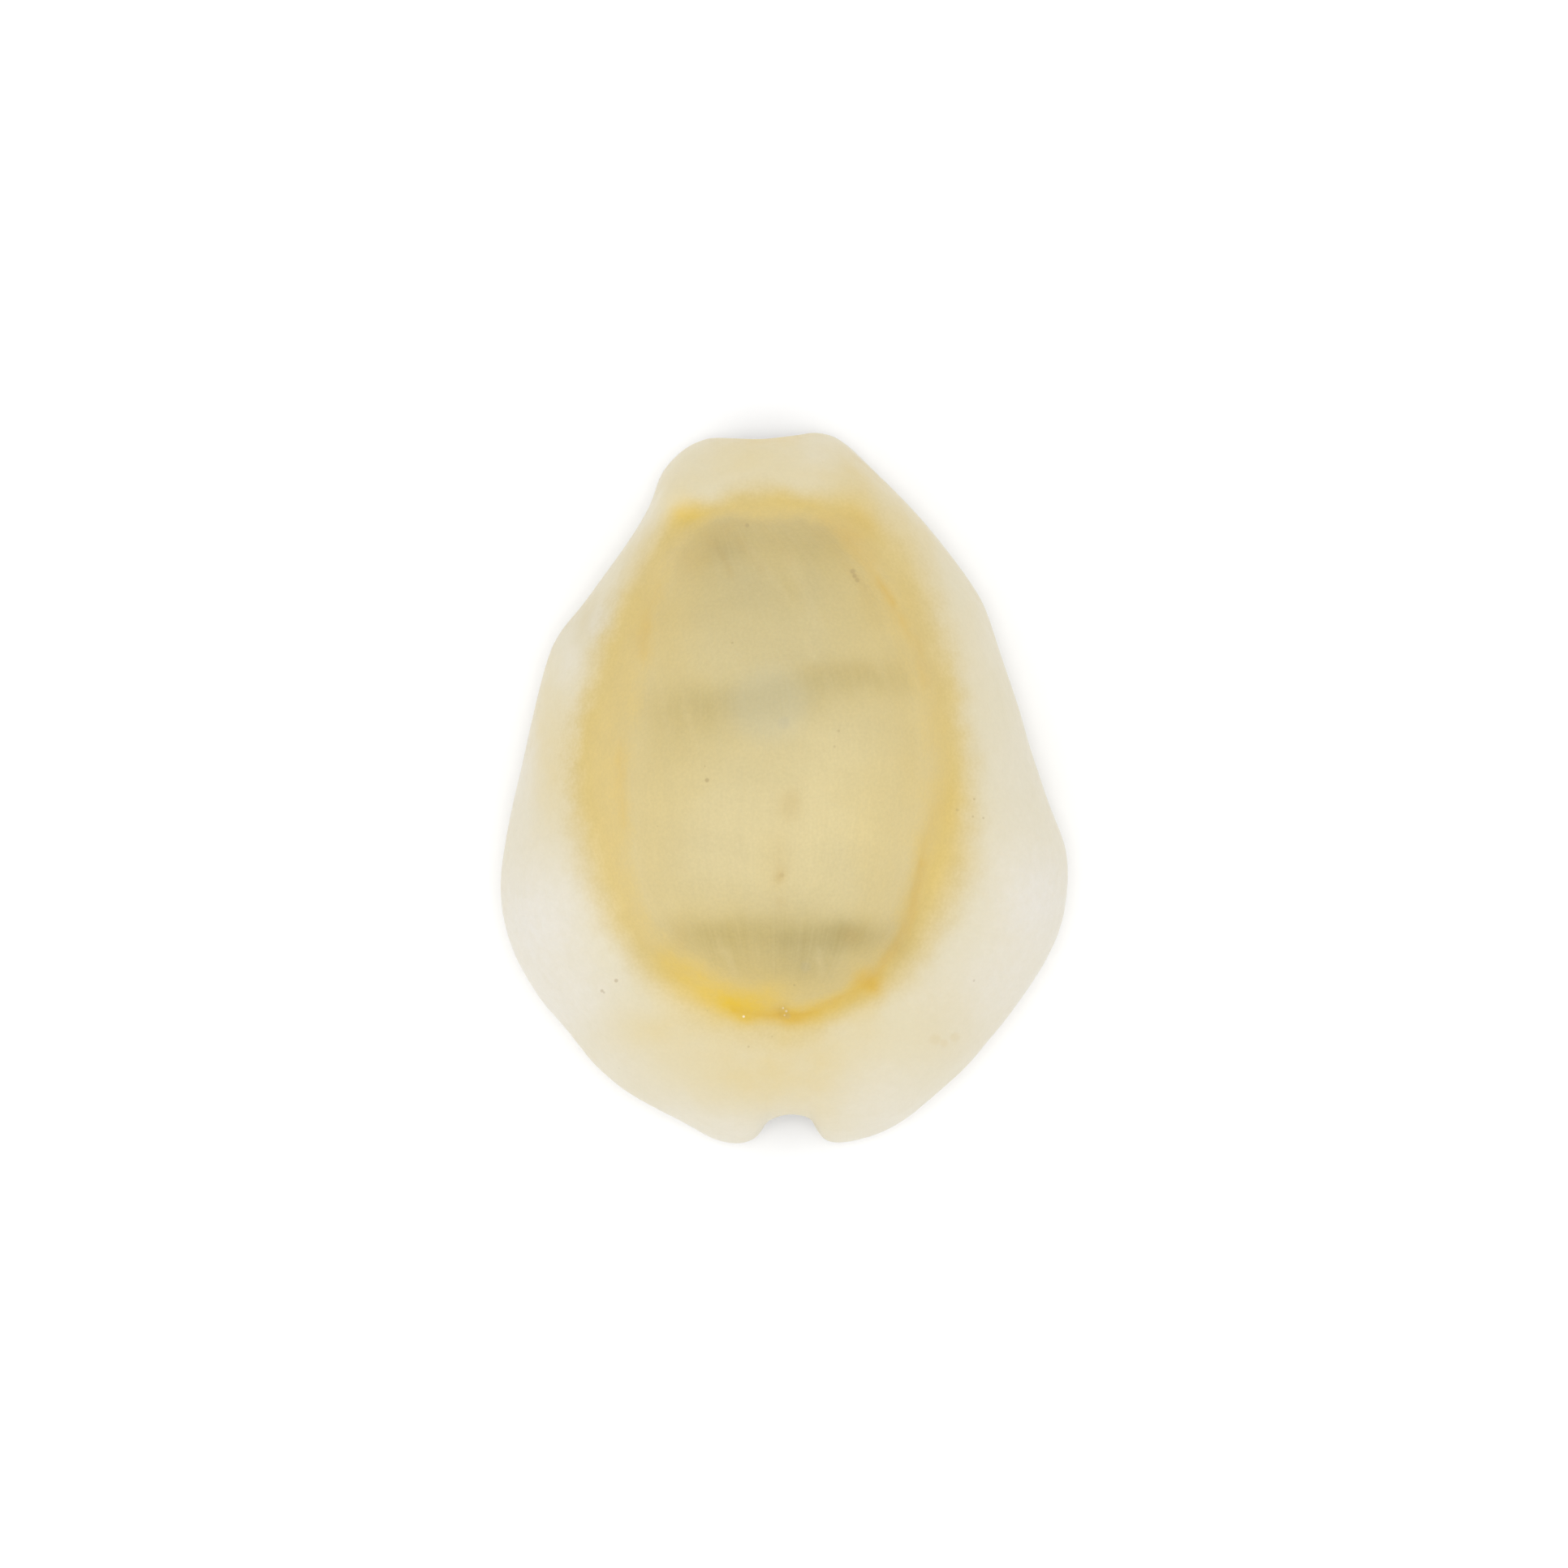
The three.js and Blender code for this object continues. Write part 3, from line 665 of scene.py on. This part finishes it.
# Where the relief lies, as ring positions: 0 at the dome's edge, 1 where the ring has faded
# half way into the callus.
CALLUS_START = 0.6
CALLUS_RISE = 1.2
CREASE_AT = 0.35
CREASE_WIDTH = 0.3
BRIM_AT = 1.1
BRIM_WIDTH = 0.35
# The brim's height and the depth of the crease where it isn't sharp, as shares of its depth.
BRIM_SHARE = 0.6
SOFT_CREASE = 0.25


def near(ring, middle, width):
    """1 at one ring position, fading to 0 on both sides of it."""
    return np.exp(-(((ring - middle) / width) ** 2))


def push(shell, name, height, where, **settings):
    """Raises the shell by a height, or lowers it, by how strongly each place is painted."""
    apply_modifier(
        shell, "DISPLACE", strength=height, vertex_group=weigh(shell, name, where),
        **{"mid_level": 0.0, **settings},
    )


def raise_relief(shell, form, back):
    """Gives the callus its swells and lumps, and deepens the crease round the dome."""
    points = wavered(vertex_positions(shell), WAVER_SIZE, WAVER_REACH)
    ring = ring_position(points)
    callus = back * np.clip((ring - CALLUS_START) / CALLUS_RISE, 0, 1)
    sharp = back * (SOFT_CREASE + (1 - SOFT_CREASE) * spot_field(points, SHARP_CREASE))
    swell = bpy.data.textures.new("callus_swell", "CLOUDS")
    swell.noise_scale = form.swell_size
    swell.noise_depth = 1
    push(shell, "callus", form.swell_height, callus, texture=swell, mid_level=0.5)
    push(shell, "lumps", form.lump_height, callus * spot_field(points, LUMPS))
    push(shell, "crease", -form.crease_depth, sharp * near(ring, CREASE_AT, CREASE_WIDTH))
    brim_height = form.crease_depth * BRIM_SHARE
    push(shell, "brim", brim_height, sharp * near(ring, BRIM_AT, BRIM_WIDTH))
    push(shell, "spire", -form.pit_depth, back * spot_field(points, SPIRE_PIT))


def rest_on_floor(shell):
    """Flattens whatever the relief pushed under the floor."""
    make_active(shell)
    bpy.ops.object.mode_set(mode="EDIT")
    bpy.ops.mesh.select_mode(type="VERT")
    bpy.ops.mesh.select_all(action="DESELECT")
    mesh = bmesh.from_edit_mesh(shell.data)
    for vertex in mesh.verts:
        vertex.select = vertex.co.z < 0
    mesh.select_flush(True)
    bmesh.update_edit_mesh(shell.data)
    bpy.ops.transform.resize(value=(1, 1, 0), center_override=(0, 0, 0))
    bpy.ops.object.mode_set(mode="OBJECT")


def measure_fields(shell, back, inside):
    """Stores what the enamel needs to know about each place on the shell."""
    points = vertex_positions(shell)
    store(shell, "back", back)
    store(shell, "inside", inside)
    store(shell, "growth", growth_position(points))
    points = wavered(points, WAVER_SIZE, WAVER_REACH)
    gold = joined(spot_field(points, GOLD_SPOTS), stroke_field(points, GOLD_STROKES))
    amber = joined(spot_field(points, AMBER_SPOTS), stroke_field(points, AMBER_STROKES))
    store(shell, "ring", ring_position(points))
    store(shell, "gold", back * gold)
    store(shell, "amber", back * amber)
    store(shell, "tinge", back * spot_field(points, TINGE_SPOTS))
    store(shell, "shade", back * spot_field(points, SHADE_SPOTS))
    scar = joined(spot_field(points, SCAR_SPOTS), stroke_field(points, UMBER_STROKES))
    store(shell, "scar", back * scar)
    store(shell, "sheen", back * stroke_field(points, SHEEN_STROKES))
    store(shell, "pale", spot_field(points, PALE_SPOTS))
    store(shell, "warm", back * spot_field(points, WARM_SPOTS))
    # Lighter and darker spots, with a painted soft highlight on the middle of the dome.
    store(shell, "tone_and_highlight", back * tone_field(points, TONE_AND_HIGHLIGHT_SPOTS))
    store(shell, "crisp", spot_field(points, CRISP_SPOTS))


# ------------------------------------------------------------------ node helpers

# A grain is full up to this share of its radius, and gone at the other.
GRAIN_CORE = 0.45
GRAIN_RIM = 1.15


class NodeBench:
    """Short ways to place and join the nodes of one material."""

    def __init__(self, name):
        self.material = bpy.data.materials.new(name)
        self.material.use_nodes = True
        self.tree = self.material.node_tree
        self.tree.nodes.clear()

    def node(self, kind, **settings):
        made = self.tree.nodes.new(kind)
        for key, value in settings.items():
            setattr(made, key, value)
        return made

    def feed(self, socket, value):
        if isinstance(value, bpy.types.NodeSocket):
            self.tree.links.new(value, socket)
        else:
            socket.default_value = value

    def attribute(self, name, output="Fac"):
        return self.node("ShaderNodeAttribute", attribute_name=name).outputs[output]

    def maths(self, operation, first, second=0.0, clamp=False):
        made = self.node("ShaderNodeMath", operation=operation, use_clamp=clamp)
        self.feed(made.inputs[0], first)
        self.feed(made.inputs[1], second)
        return made.outputs[0]

    def between(self, value, low, high, to_low=0.0, to_high=1.0, smooth=True):
        made = self.node("ShaderNodeMapRange")
        made.interpolation_type = "SMOOTHSTEP" if smooth else "LINEAR"
        self.feed(made.inputs["Value"], value)
        self.feed(made.inputs["From Min"], low)
        self.feed(made.inputs["From Max"], high)
        self.feed(made.inputs["To Min"], to_low)
        self.feed(made.inputs["To Max"], to_high)
        return made.outputs["Result"]

    def mix(self, share, first, second, blend="MIX"):
        made = self.node("ShaderNodeMix", data_type="RGBA", blend_type=blend)
        self.feed(made.inputs["Factor"], share)
        self.feed(made.inputs["A"], first)
        self.feed(made.inputs["B"], second)
        return made.outputs["Result"]

    def scaled(self, vector, x, y, z):
        made = self.node("ShaderNodeMapping", vector_type="POINT")
        self.feed(made.inputs["Vector"], vector)
        made.inputs["Scale"].default_value = (x, y, z)
        return made.outputs["Vector"]

    def noise(self, vector, scale, detail=3.0, roughness=0.5, distortion=0.0):
        made = self.node("ShaderNodeTexNoise")
        self.feed(made.inputs["Vector"], vector)
        made.inputs["Scale"].default_value = scale
        made.inputs["Detail"].default_value = detail
        made.inputs["Roughness"].default_value = roughness
        made.inputs["Distortion"].default_value = distortion
        return made.outputs["Fac"]

    def coat(self, colour):
        """The material's one shader, joined to its output."""
        shader = self.node("ShaderNodeBsdfPrincipled")
        output = self.node("ShaderNodeOutputMaterial")
        self.feed(shader.inputs["Base Color"], colour)
        self.feed(output.inputs["Surface"], shader.outputs["BSDF"])
        return shader

    def spot(self, place, x, y, radius):
        made = self.node("ShaderNodeVectorMath", operation="DISTANCE")
        self.feed(made.inputs[0], place)
        made.inputs[1].default_value = (x, y, 0.0)
        core = radius * GRAIN_CORE
        return self.between(made.outputs["Value"], core, radius * GRAIN_RIM, 1.0, 0.0)


def opaque(colour):
    return (*colour, 1.0)


# ------------------------------------------------------------------ noises of the enamel
# Scales are in steps per millimetre. A stretch is how much finer a noise is along x, y and z,
# or across the growth lines, along them and up.

DRIFT = {"scale": 0.8, "detail": 4.0, "roughness": 0.55}
MOTTLE = {"scale": 2.6, "detail": 4.0, "roughness": 0.6}
GRIT = {"scale": 9.0, "detail": 2.0, "roughness": 0.6}
SKIN = {"scale": 2.2, "detail": 3.0, "roughness": 0.5}
CLOUD = {"scale": 1.0, "detail": 3.0, "roughness": 0.5}
CLOUD_STRETCH = (0.3, 0.8, 0.3)
STREAK = {"scale": 1.0, "detail": 3.0, "roughness": 0.6, "distortion": 0.5}
STREAK_STRETCH = (7.0, 0.9, 1.0)
THREAD = {"scale": 1.0, "detail": 3.0, "roughness": 0.6, "distortion": 0.4}
THREAD_STRETCH = (42.0, 2.4, 1.0)

# Nearly all of a noise lies between these, and nearly all of the sum of two between the others.
NOISE_SPAN = (0.3, 0.7)
DOUBLE_SPAN = (0.7, 1.3)


def swing(bench, field, low, high, span=NOISE_SPAN):
    """A noise, spread evenly from low to high."""
    return bench.between(field, *span, low, high, smooth=False)


def as_grey(bench, value):
    made = bench.node("ShaderNodeCombineColor")
    for channel in ("Red", "Green", "Blue"):
        bench.feed(made.inputs[channel], value)
    return made.outputs["Color"]


def dimmed(bench, colour, value):
    """A colour times a number."""
    return bench.mix(1.0, colour, as_grey(bench, value), "MULTIPLY")


def shaded(bench, colour, field, depth):
    """Makes a colour darker and lighter by a noise."""
    return dimmed(bench, colour, swing(bench, field, 1 - depth, 1 + depth))


def patchy(bench, name, unevenness):
    """A stored field times an unevenness, kept between 0 and 1."""
    return bench.maths("MULTIPLY", bench.attribute(name), unevenness, clamp=True)


# ------------------------------------------------------------------ enamel

# How far the ring's edges waver, as ring positions.
RING_WOBBLE = 0.045
RING_FRAY = 0.03
# Where the ring's colour starts and is full, on the dome's side, as ring positions.
RING_RISE = (-0.6, 0.3)
# A trace of it reaches further up the dome.
TINGE_RISE = (-2.2, -0.2)
TINGE_SHARE = 0.4
# Where the ring starts to fade into the callus, where it has, and how far both draw together
# where the edge is crisp.
FADE_START = 0.35
FADE_END = 1.45
CRISP_REACH = 0.36

# How much lighter the colour is where the tone, with its painted highlight, is 1.
TONE_AND_HIGHLIGHT_REACH = 0.1

# Where the hollow's own colour starts.
HOLLOW_FROM = 0.2

# How weak and how strong the noises make the stored fields, from place to place.
BAND_SWING = (0.78, 1.22)
SCAR_SWING = (0.7, 1.3)
GOLD_SWING = (0.8, 1.15)
AMBER_SWING = (0.7, 1.2)
WARM_SWING = (0.75, 1.25)
PALE_SWING = (0.85, 1.1)
# How much cream the white underside has.
UNDERSIDE_CREAM = (0.1, 0.5)
# How much darker and lighter the noises make each part.
BACK_GRIT = 0.02
SKIN_GRIT = 0.015
CLOUD_DEPTH = 0.025
LINE_DEPTH = 0.015
RING_DRIFT = 0.03
RING_MOTTLE = 0.015
CALLUS_MOTTLE = 0.01

ENAMEL_IOR = 1.55
# How far red, green and blue light spread under the enamel.
LIGHT_SPREAD = (1.0, 0.75, 0.5)
LIGHT_DEPTH = 0.5 * MM


def enamel_material(form, colours):
    bench = NodeBench("enamel")
    place = bench.node("ShaderNodeTexCoord").outputs["Object"]
    place_mm = bench.scaled(place, 1 / MM, 1 / MM, 1 / MM)
    plan = bench.scaled(place, 1 / MM, 1 / MM, 0.0)
    growth = bench.attribute("growth", "Vector")

    drift = bench.noise(place_mm, **DRIFT)
    mottle = bench.noise(place_mm, **MOTTLE)
    grit = bench.noise(place_mm, **GRIT)
    cloud = bench.noise(bench.scaled(place_mm, *CLOUD_STRETCH), **CLOUD)
    streak = bench.noise(bench.scaled(growth, *STREAK_STRETCH), **STREAK)
    thread = bench.noise(bench.scaled(growth, *THREAD_STRETCH), **THREAD)
    ring_at = ring_with_rough_edges(bench, drift, mottle, grit)

    dome = dome_colour(bench, colours, cloud, drift, streak, thread)
    ring = ring_colour(bench, colours, drift, mottle, streak)
    callus = callus_colour(bench, colours, drift, mottle)
    dome = shaded(bench, dome, grit, BACK_GRIT)
    ring = shaded(bench, ring, grit, BACK_GRIT)
    colour = back_colour(bench, ring_at, dome, ring, callus)
    colour = with_gold_and_amber(bench, colours, colour, drift, mottle)
    # Painted soft highlight on the middle of the dome, with the other lighter and darker spots.
    colour = toned_and_highlighted(bench, colour)
    under = underside_colour(bench, colours, drift)
    colour = bench.mix(bench.attribute("back"), under, colour)
    colour = shaded(bench, colour, grit, SKIN_GRIT)
    colour = with_specks(bench, plan, colour)
    colour = with_dust(bench, place_mm, colour)
    inside = bench.between(bench.attribute("inside"), HOLLOW_FROM, 1.0)
    colour = bench.mix(inside, colour, opaque(colours.hollow))

    shader = bench.coat(colour)
    shader.inputs["IOR"].default_value = ENAMEL_IOR
    shader.inputs["Subsurface Weight"].default_value = colours.translucency
    shader.inputs["Subsurface Radius"].default_value = LIGHT_SPREAD
    shader.inputs["Subsurface Scale"].default_value = LIGHT_DEPTH
    bench.feed(shader.inputs["Roughness"], roughness_of(bench, colours, drift, thread, mottle))
    bench.feed(shader.inputs["Normal"], relief(bench, form, place_mm, streak, thread, ring_at))
    return bench.material


def ring_with_rough_edges(bench, drift, mottle, grit):
    """The ring position, moved a little to and fro so that the ring's edges waver and fray."""
    wobble = swing(bench, drift, -RING_WOBBLE, RING_WOBBLE)
    coarse = swing(bench, mottle, -RING_FRAY, RING_FRAY)
    fine = swing(bench, grit, -RING_FRAY, RING_FRAY)
    fray = bench.maths("ADD", coarse, fine)
    return bench.maths("ADD", bench.attribute("ring"), bench.maths("ADD", wobble, fray))


def back_colour(bench, ring_at, dome, ring, callus):
    """Joins the dome, the ring and the callus, from the middle of the back outwards."""
    tinge = bench.between(ring_at, *TINGE_RISE, 0.0, TINGE_SHARE)
    into_ring = bench.maths("MAXIMUM", tinge, bench.between(ring_at, *RING_RISE))
    sharper = bench.maths("MULTIPLY", bench.attribute("crisp"), CRISP_REACH)
    fade_start = bench.maths("ADD", sharper, FADE_START)
    fade_end = bench.maths("SUBTRACT", FADE_END, sharper)
    into_callus = bench.between(ring_at, fade_start, fade_end)
    return bench.mix(into_callus, bench.mix(into_ring, dome, ring), callus)


def toned_and_highlighted(bench, colour):
    """Makes a colour lighter and darker by the stored tone, which holds a painted soft
    highlight.
    """
    tone_and_highlight = bench.maths("ADD", bench.maths("MULTIPLY", bench.attribute("tone_and_highlight"), TONE_AND_HIGHLIGHT_REACH), 1.0)
    return dimmed(bench, colour, tone_and_highlight)


def dome_colour(bench, colours, cloud, drift, streak, thread):
    """Straw yellow with grey-olive bands across it and faint growth lines along it."""
    lines = swing(bench, bench.maths("ADD", streak, thread), *BAND_SWING, DOUBLE_SPAN)
    colour = bench.mix(bench.attribute("tinge"), opaque(colours.straw), opaque(colours.ochre))
    colour = bench.mix(patchy(bench, "shade", lines), colour, opaque(colours.olive))
    uneven = swing(bench, drift, *SCAR_SWING)
    colour = bench.mix(patchy(bench, "scar", uneven), colour, opaque(colours.umber))
    colour = bench.mix(patchy(bench, "sheen", uneven), colour, opaque(colours.straw))
    colour = shaded(bench, colour, cloud, CLOUD_DEPTH)
    colour = shaded(bench, colour, streak, LINE_DEPTH)
    return shaded(bench, colour, thread, LINE_DEPTH)


def ring_colour(bench, colours, drift, mottle, streak):
    """Ochre, a little uneven along the growth lines."""
    colour = shaded(bench, opaque(colours.ochre), drift, RING_DRIFT)
    colour = shaded(bench, colour, mottle, RING_MOTTLE)
    return shaded(bench, colour, streak, LINE_DEPTH)


def with_gold_and_amber(bench, colours, colour, drift, mottle):
    """Deepens the ring where it is a clear yellow, and where it is orange."""
    gold = patchy(bench, "gold", swing(bench, mottle, *GOLD_SWING))
    amber = patchy(bench, "amber", swing(bench, drift, *AMBER_SWING))
    colour = bench.mix(gold, colour, opaque(colours.gold))
    return bench.mix(amber, colour, opaque(colours.amber))


def callus_colour(bench, colours, drift, mottle):
    """Cream with white porcelain patches and yellowed patches."""
    warm = patchy(bench, "warm", swing(bench, drift, *WARM_SWING))
    pale = patchy(bench, "pale", swing(bench, mottle, *PALE_SWING))
    colour = bench.mix(warm, opaque(colours.cream), opaque(colours.warm))
    colour = bench.mix(pale, colour, opaque(colours.pale))
    return shaded(bench, colour, mottle, CALLUS_MOTTLE)


def underside_colour(bench, colours, drift):
    """White enamel with a trace of cream."""
    cream = swing(bench, drift, *UNDERSIDE_CREAM)
    return bench.mix(cream, opaque(colours.pale), opaque(colours.cream))


# ------------------------------------------------------------------ specks and dust

SPECK_TINTS = {
    "brown": (0.24, 0.15, 0.05, 1.0),
    "grey": (0.32, 0.29, 0.22, 1.0),
    "yellow": (0.5, 0.35, 0.1, 1.0),
    "haze": (0.44, 0.47, 0.4, 1.0),
    "white": (0.9, 0.88, 0.82, 1.0),
}

# Specks show from the first share of the field "back" on, and in full from the second.
SPECK_RISE = (0.6, 0.9)

# Dust: cells per millimetre, the share of the cells without a grain, and the sizes of a
# grain's core and rim, as shares of a cell.
DUST_CELLS = 0.75
DUST_FREE = 0.62
DUST_CORE = 0.015
DUST_RIM = (0.025, 0.06)
DUST_STRENGTH = 0.3


def with_specks(bench, plan, colour):
    """Adds the grains and stains, on the back only."""
    back = bench.between(bench.attribute("back"), *SPECK_RISE)
    for x, y, radius, strength, tint in SPECKS:
        share = bench.maths("MULTIPLY", bench.spot(plan, x, y, radius), strength)
        share = bench.maths("MULTIPLY", share, back)
        colour = bench.mix(share, colour, SPECK_TINTS[tint])
    return colour


def cells(bench, place, scale):
    """An even scatter of points, as a node that tells the distance to the nearest one."""
    made = bench.node("ShaderNodeTexVoronoi", feature="F1")
    bench.feed(made.inputs["Vector"], place)
    made.inputs["Scale"].default_value = scale
    return made


def with_dust(bench, place_mm, colour):
    """Scatters a few faint brown grains."""
    scatter = cells(bench, place_mm, DUST_CELLS)
    chance = bench.node("ShaderNodeSeparateColor")
    bench.feed(chance.inputs["Color"], scatter.outputs["Color"])
    chosen = bench.maths("GREATER_THAN", chance.outputs["Red"], DUST_FREE)
    rim = bench.between(chance.outputs["Green"], 0.0, 1.0, *DUST_RIM, smooth=False)
    grain = bench.between(scatter.outputs["Distance"], DUST_CORE, rim, 1.0, 0.0)
    share = bench.maths("MULTIPLY", bench.maths("MULTIPLY", grain, chosen), DUST_STRENGTH)
    return bench.mix(share, colour, SPECK_TINTS["brown"])


# ------------------------------------------------------------------ surface of the enamel

# Where wear starts and is full in a noise, and how much duller wear and lines make the enamel.
BROAD_WEAR = (0.35, 0.75)
BROAD_DULLNESS = 0.08
FINE_WEAR = (0.55, 0.75)
FINE_DULLNESS = 0.05
LINE_DULLNESS = 0.05

# The growth lines are gone at the first ring position, and full at the second.
LINES_FADE = (0.6, -0.2)
# Pits per millimetre, where a pit's slope starts and ends as shares of a cell, and the height
# of pits and of the unevenness as multiples of the growth lines' relief.
PIT_CELLS = 1.6
PIT_SLOPE = (0.02, 0.09)
PIT_HEIGHT = 0.8
SKIN_HEIGHT = 2.0


def roughness_of(bench, colours, drift, thread, mottle):
    """Glossy, a little duller along growth lines and where it is worn."""
    worn = bench.between(drift, *BROAD_WEAR, 0.0, BROAD_DULLNESS)
    lines = bench.between(thread, *NOISE_SPAN, 0.0, LINE_DULLNESS)
    total = bench.maths("ADD", worn, lines)
    total = bench.maths("ADD", total, bench.between(mottle, *FINE_WEAR, 0.0, FINE_DULLNESS))
    return bench.maths("ADD", total, colours.roughness)


def relief(bench, form, place_mm, streak, thread, ring_at):
    """Growth lines on the dome, a soft unevenness and tiny pits all over."""
    fading = bench.between(ring_at, *LINES_FADE)
    on_dome = bench.maths("MULTIPLY", fading, bench.attribute("back"))
    lines = bench.maths("MULTIPLY", bench.maths("ADD", streak, thread), on_dome)
    skin = bench.maths("MULTIPLY", bench.noise(place_mm, **SKIN), SKIN_HEIGHT)
    scatter = cells(bench, place_mm, PIT_CELLS)
    pits = bench.between(scatter.outputs["Distance"], *PIT_SLOPE)
    height = bench.maths("ADD", lines, skin)
    height = bench.maths("ADD", height, bench.maths("MULTIPLY", pits, PIT_HEIGHT))
    bump = bench.node("ShaderNodeBump")
    bump.inputs["Strength"].default_value = 1.0
    bump.inputs["Distance"].default_value = form.line_depth
    bench.feed(bump.inputs["Height"], height)
    return bump.outputs["Normal"]


# ------------------------------------------------------------------ operators


class COWRIE_OT_make_shell(Operator):
    """Model the whole shell and coat it with enamel"""

    bl_idname = "cowrie.make_shell"
    bl_label = "Make Shell"
    bl_options = {"REGISTER", "UNDO"}

    def execute(self, context):
        form = context.scene.cowrie_form
        colours = context.scene.cowrie_colours
        shell = copy_frame_node(NODE)
        join_into_squares(shell)
        swell_cage(shell, form.refine)
        apply_modifier(
            shell, "SUBSURF", levels=form.refine, render_levels=form.refine,
        )
        back, inside = outlooks(shell)
        raise_relief(shell, form, back)
        rest_on_floor(shell)
        measure_fields(shell, back, inside)
        make_active(shell)
        bpy.ops.object.shade_smooth()
        shell.data.materials.append(enamel_material(form, colours))
        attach(shell, BODY)
        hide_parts(NODE)
        return {"FINISHED"}


class COWRIE_OT_set_stage(Operator):
    """Lay the floor and set the lights and the camera"""

    bl_idname = "cowrie.set_stage"
    bl_label = "Set Stage"
    bl_options = {"REGISTER", "UNDO"}

    def execute(self, context):
        stage = context.scene.cowrie_stage
        lay_floor(stage)
        hang_lights(context.scene, stage)
        place_camera(context.scene, stage)
        context.scene.view_settings.view_transform = "Standard"
        return {"FINISHED"}


# The margin is widest at this height, where the picture's width is measured.
MARGIN_LEVEL = 3.0 * MM
PICTURE_MIDDLE = (0.0, 0.157 * MM)
SENSOR = 36.0
CLIP_START = 0.005
CLIP_END = 20.0

FLOOR_CORNERS = 96
FLOOR_GRAIN = {"scale": 900.0, "detail": 2.0}
FLOOR_GRAIN_TONE = 0.985
FLOOR_ROUGHNESS = 0.8
FLOOR_SHINE = 0.2

# Lamps, in metres.
KEY_PLACE = (-0.15, -0.3, 0.9)
KEY_AIM = (0, 0, 0.005)
KEY_WIDTH = 1.4
TOP_PLACE = (0, 0, 1.0)
TOP_AIM = (0, 0, 0)
TOP_WIDTH = 0.3


def lay_floor(stage):
    deselect_all()
    bpy.ops.mesh.primitive_circle_add(
        vertices=FLOOR_CORNERS, radius=stage.floor_reach, fill_type="NGON", location=(0, 0, 0),
    )
    floor = bpy.context.active_object
    floor.name = "floor"
    bench = NodeBench("floor")
    place = bench.node("ShaderNodeTexCoord").outputs["Object"]
    grain = bench.noise(place, **FLOOR_GRAIN)
    dimmer = [FLOOR_GRAIN_TONE * channel for channel in stage.floor_colour]
    shader = bench.coat(bench.mix(grain, opaque(stage.floor_colour), opaque(dimmer)))
    shader.inputs["Roughness"].default_value = FLOOR_ROUGHNESS
    shader.inputs["Specular IOR Level"].default_value = FLOOR_SHINE
    floor.data.materials.append(bench.material)


def soft_lamp(name, place, aim, width, power):
    deselect_all()
    bpy.ops.object.light_add(type="AREA", location=place)
    lamp = bpy.context.active_object
    lamp.name = name
    lamp.data.shape = "DISK"
    lamp.data.size = width
    lamp.data.energy = power
    direction = Vector(aim) - Vector(place)
    lamp.rotation_euler = direction.to_track_quat("-Z", "Y").to_euler()
    return lamp


def hang_lights(scene, stage):
    world = bpy.data.worlds.new("studio")
    world.use_nodes = True
    sky = world.node_tree.nodes["Background"]
    sky.inputs["Color"].default_value = (1.0, 1.0, 1.0, 1.0)
    sky.inputs["Strength"].default_value = stage.sky_light
    scene.world = world
    soft_lamp("key", KEY_PLACE, KEY_AIM, KEY_WIDTH, stage.key_light)
    top = soft_lamp("top", TOP_PLACE, TOP_AIM, TOP_WIDTH, stage.top_light)
    top.visible_glossy = False


def place_camera(scene, stage):
    deselect_all()
    height = stage.field * stage.lens / SENSOR + MARGIN_LEVEL
    bpy.ops.object.camera_add(location=(*PICTURE_MIDDLE, height), rotation=(0, 0, 0))
    camera = bpy.context.active_object
    camera.name = "camera"
    camera.data.lens = stage.lens
    camera.data.sensor_width = SENSOR
    camera.data.clip_start = CLIP_START
    camera.data.clip_end = CLIP_END
    scene.camera = camera


class COWRIE_PT_panel(Panel):
    """Lists the shell's settings, with the buttons that use them"""

    bl_label = "Cowrie Shell"
    bl_idname = "COWRIE_PT_panel"
    bl_space_type = "VIEW_3D"
    bl_region_type = "UI"
    bl_category = "Cowrie"

    def draw(self, context):
        layout = self.layout
        groups = (
            (context.scene.cowrie_form, COWRIE_OT_make_shell.bl_idname),
            (context.scene.cowrie_colours, None),
            (context.scene.cowrie_stage, COWRIE_OT_set_stage.bl_idname),
        )
        for settings, operator in groups:
            box = layout.box()
            for name in settings.bl_rna.properties.keys():
                if name not in ("rna_type", "name"):
                    box.prop(settings, name)
            if operator:
                box.operator(operator)


CLASSES = (
    CowrieForm,
    CowrieColours,
    CowrieStage,
    COWRIE_OT_make_shell,
    COWRIE_OT_set_stage,
    COWRIE_PT_panel,
)


def register():
    for cls in CLASSES:
        bpy.utils.register_class(cls)
    bpy.types.Scene.cowrie_form = PointerProperty(type=CowrieForm)
    bpy.types.Scene.cowrie_colours = PointerProperty(type=CowrieColours)
    bpy.types.Scene.cowrie_stage = PointerProperty(type=CowrieStage)


def unregister():
    del bpy.types.Scene.cowrie_stage
    del bpy.types.Scene.cowrie_colours
    del bpy.types.Scene.cowrie_form
    for cls in reversed(CLASSES):
        bpy.utils.unregister_class(cls)


def main():
    register()
    bpy.ops.cowrie.make_shell()
    bpy.ops.cowrie.set_stage()


if __name__ == "__main__":
    main()
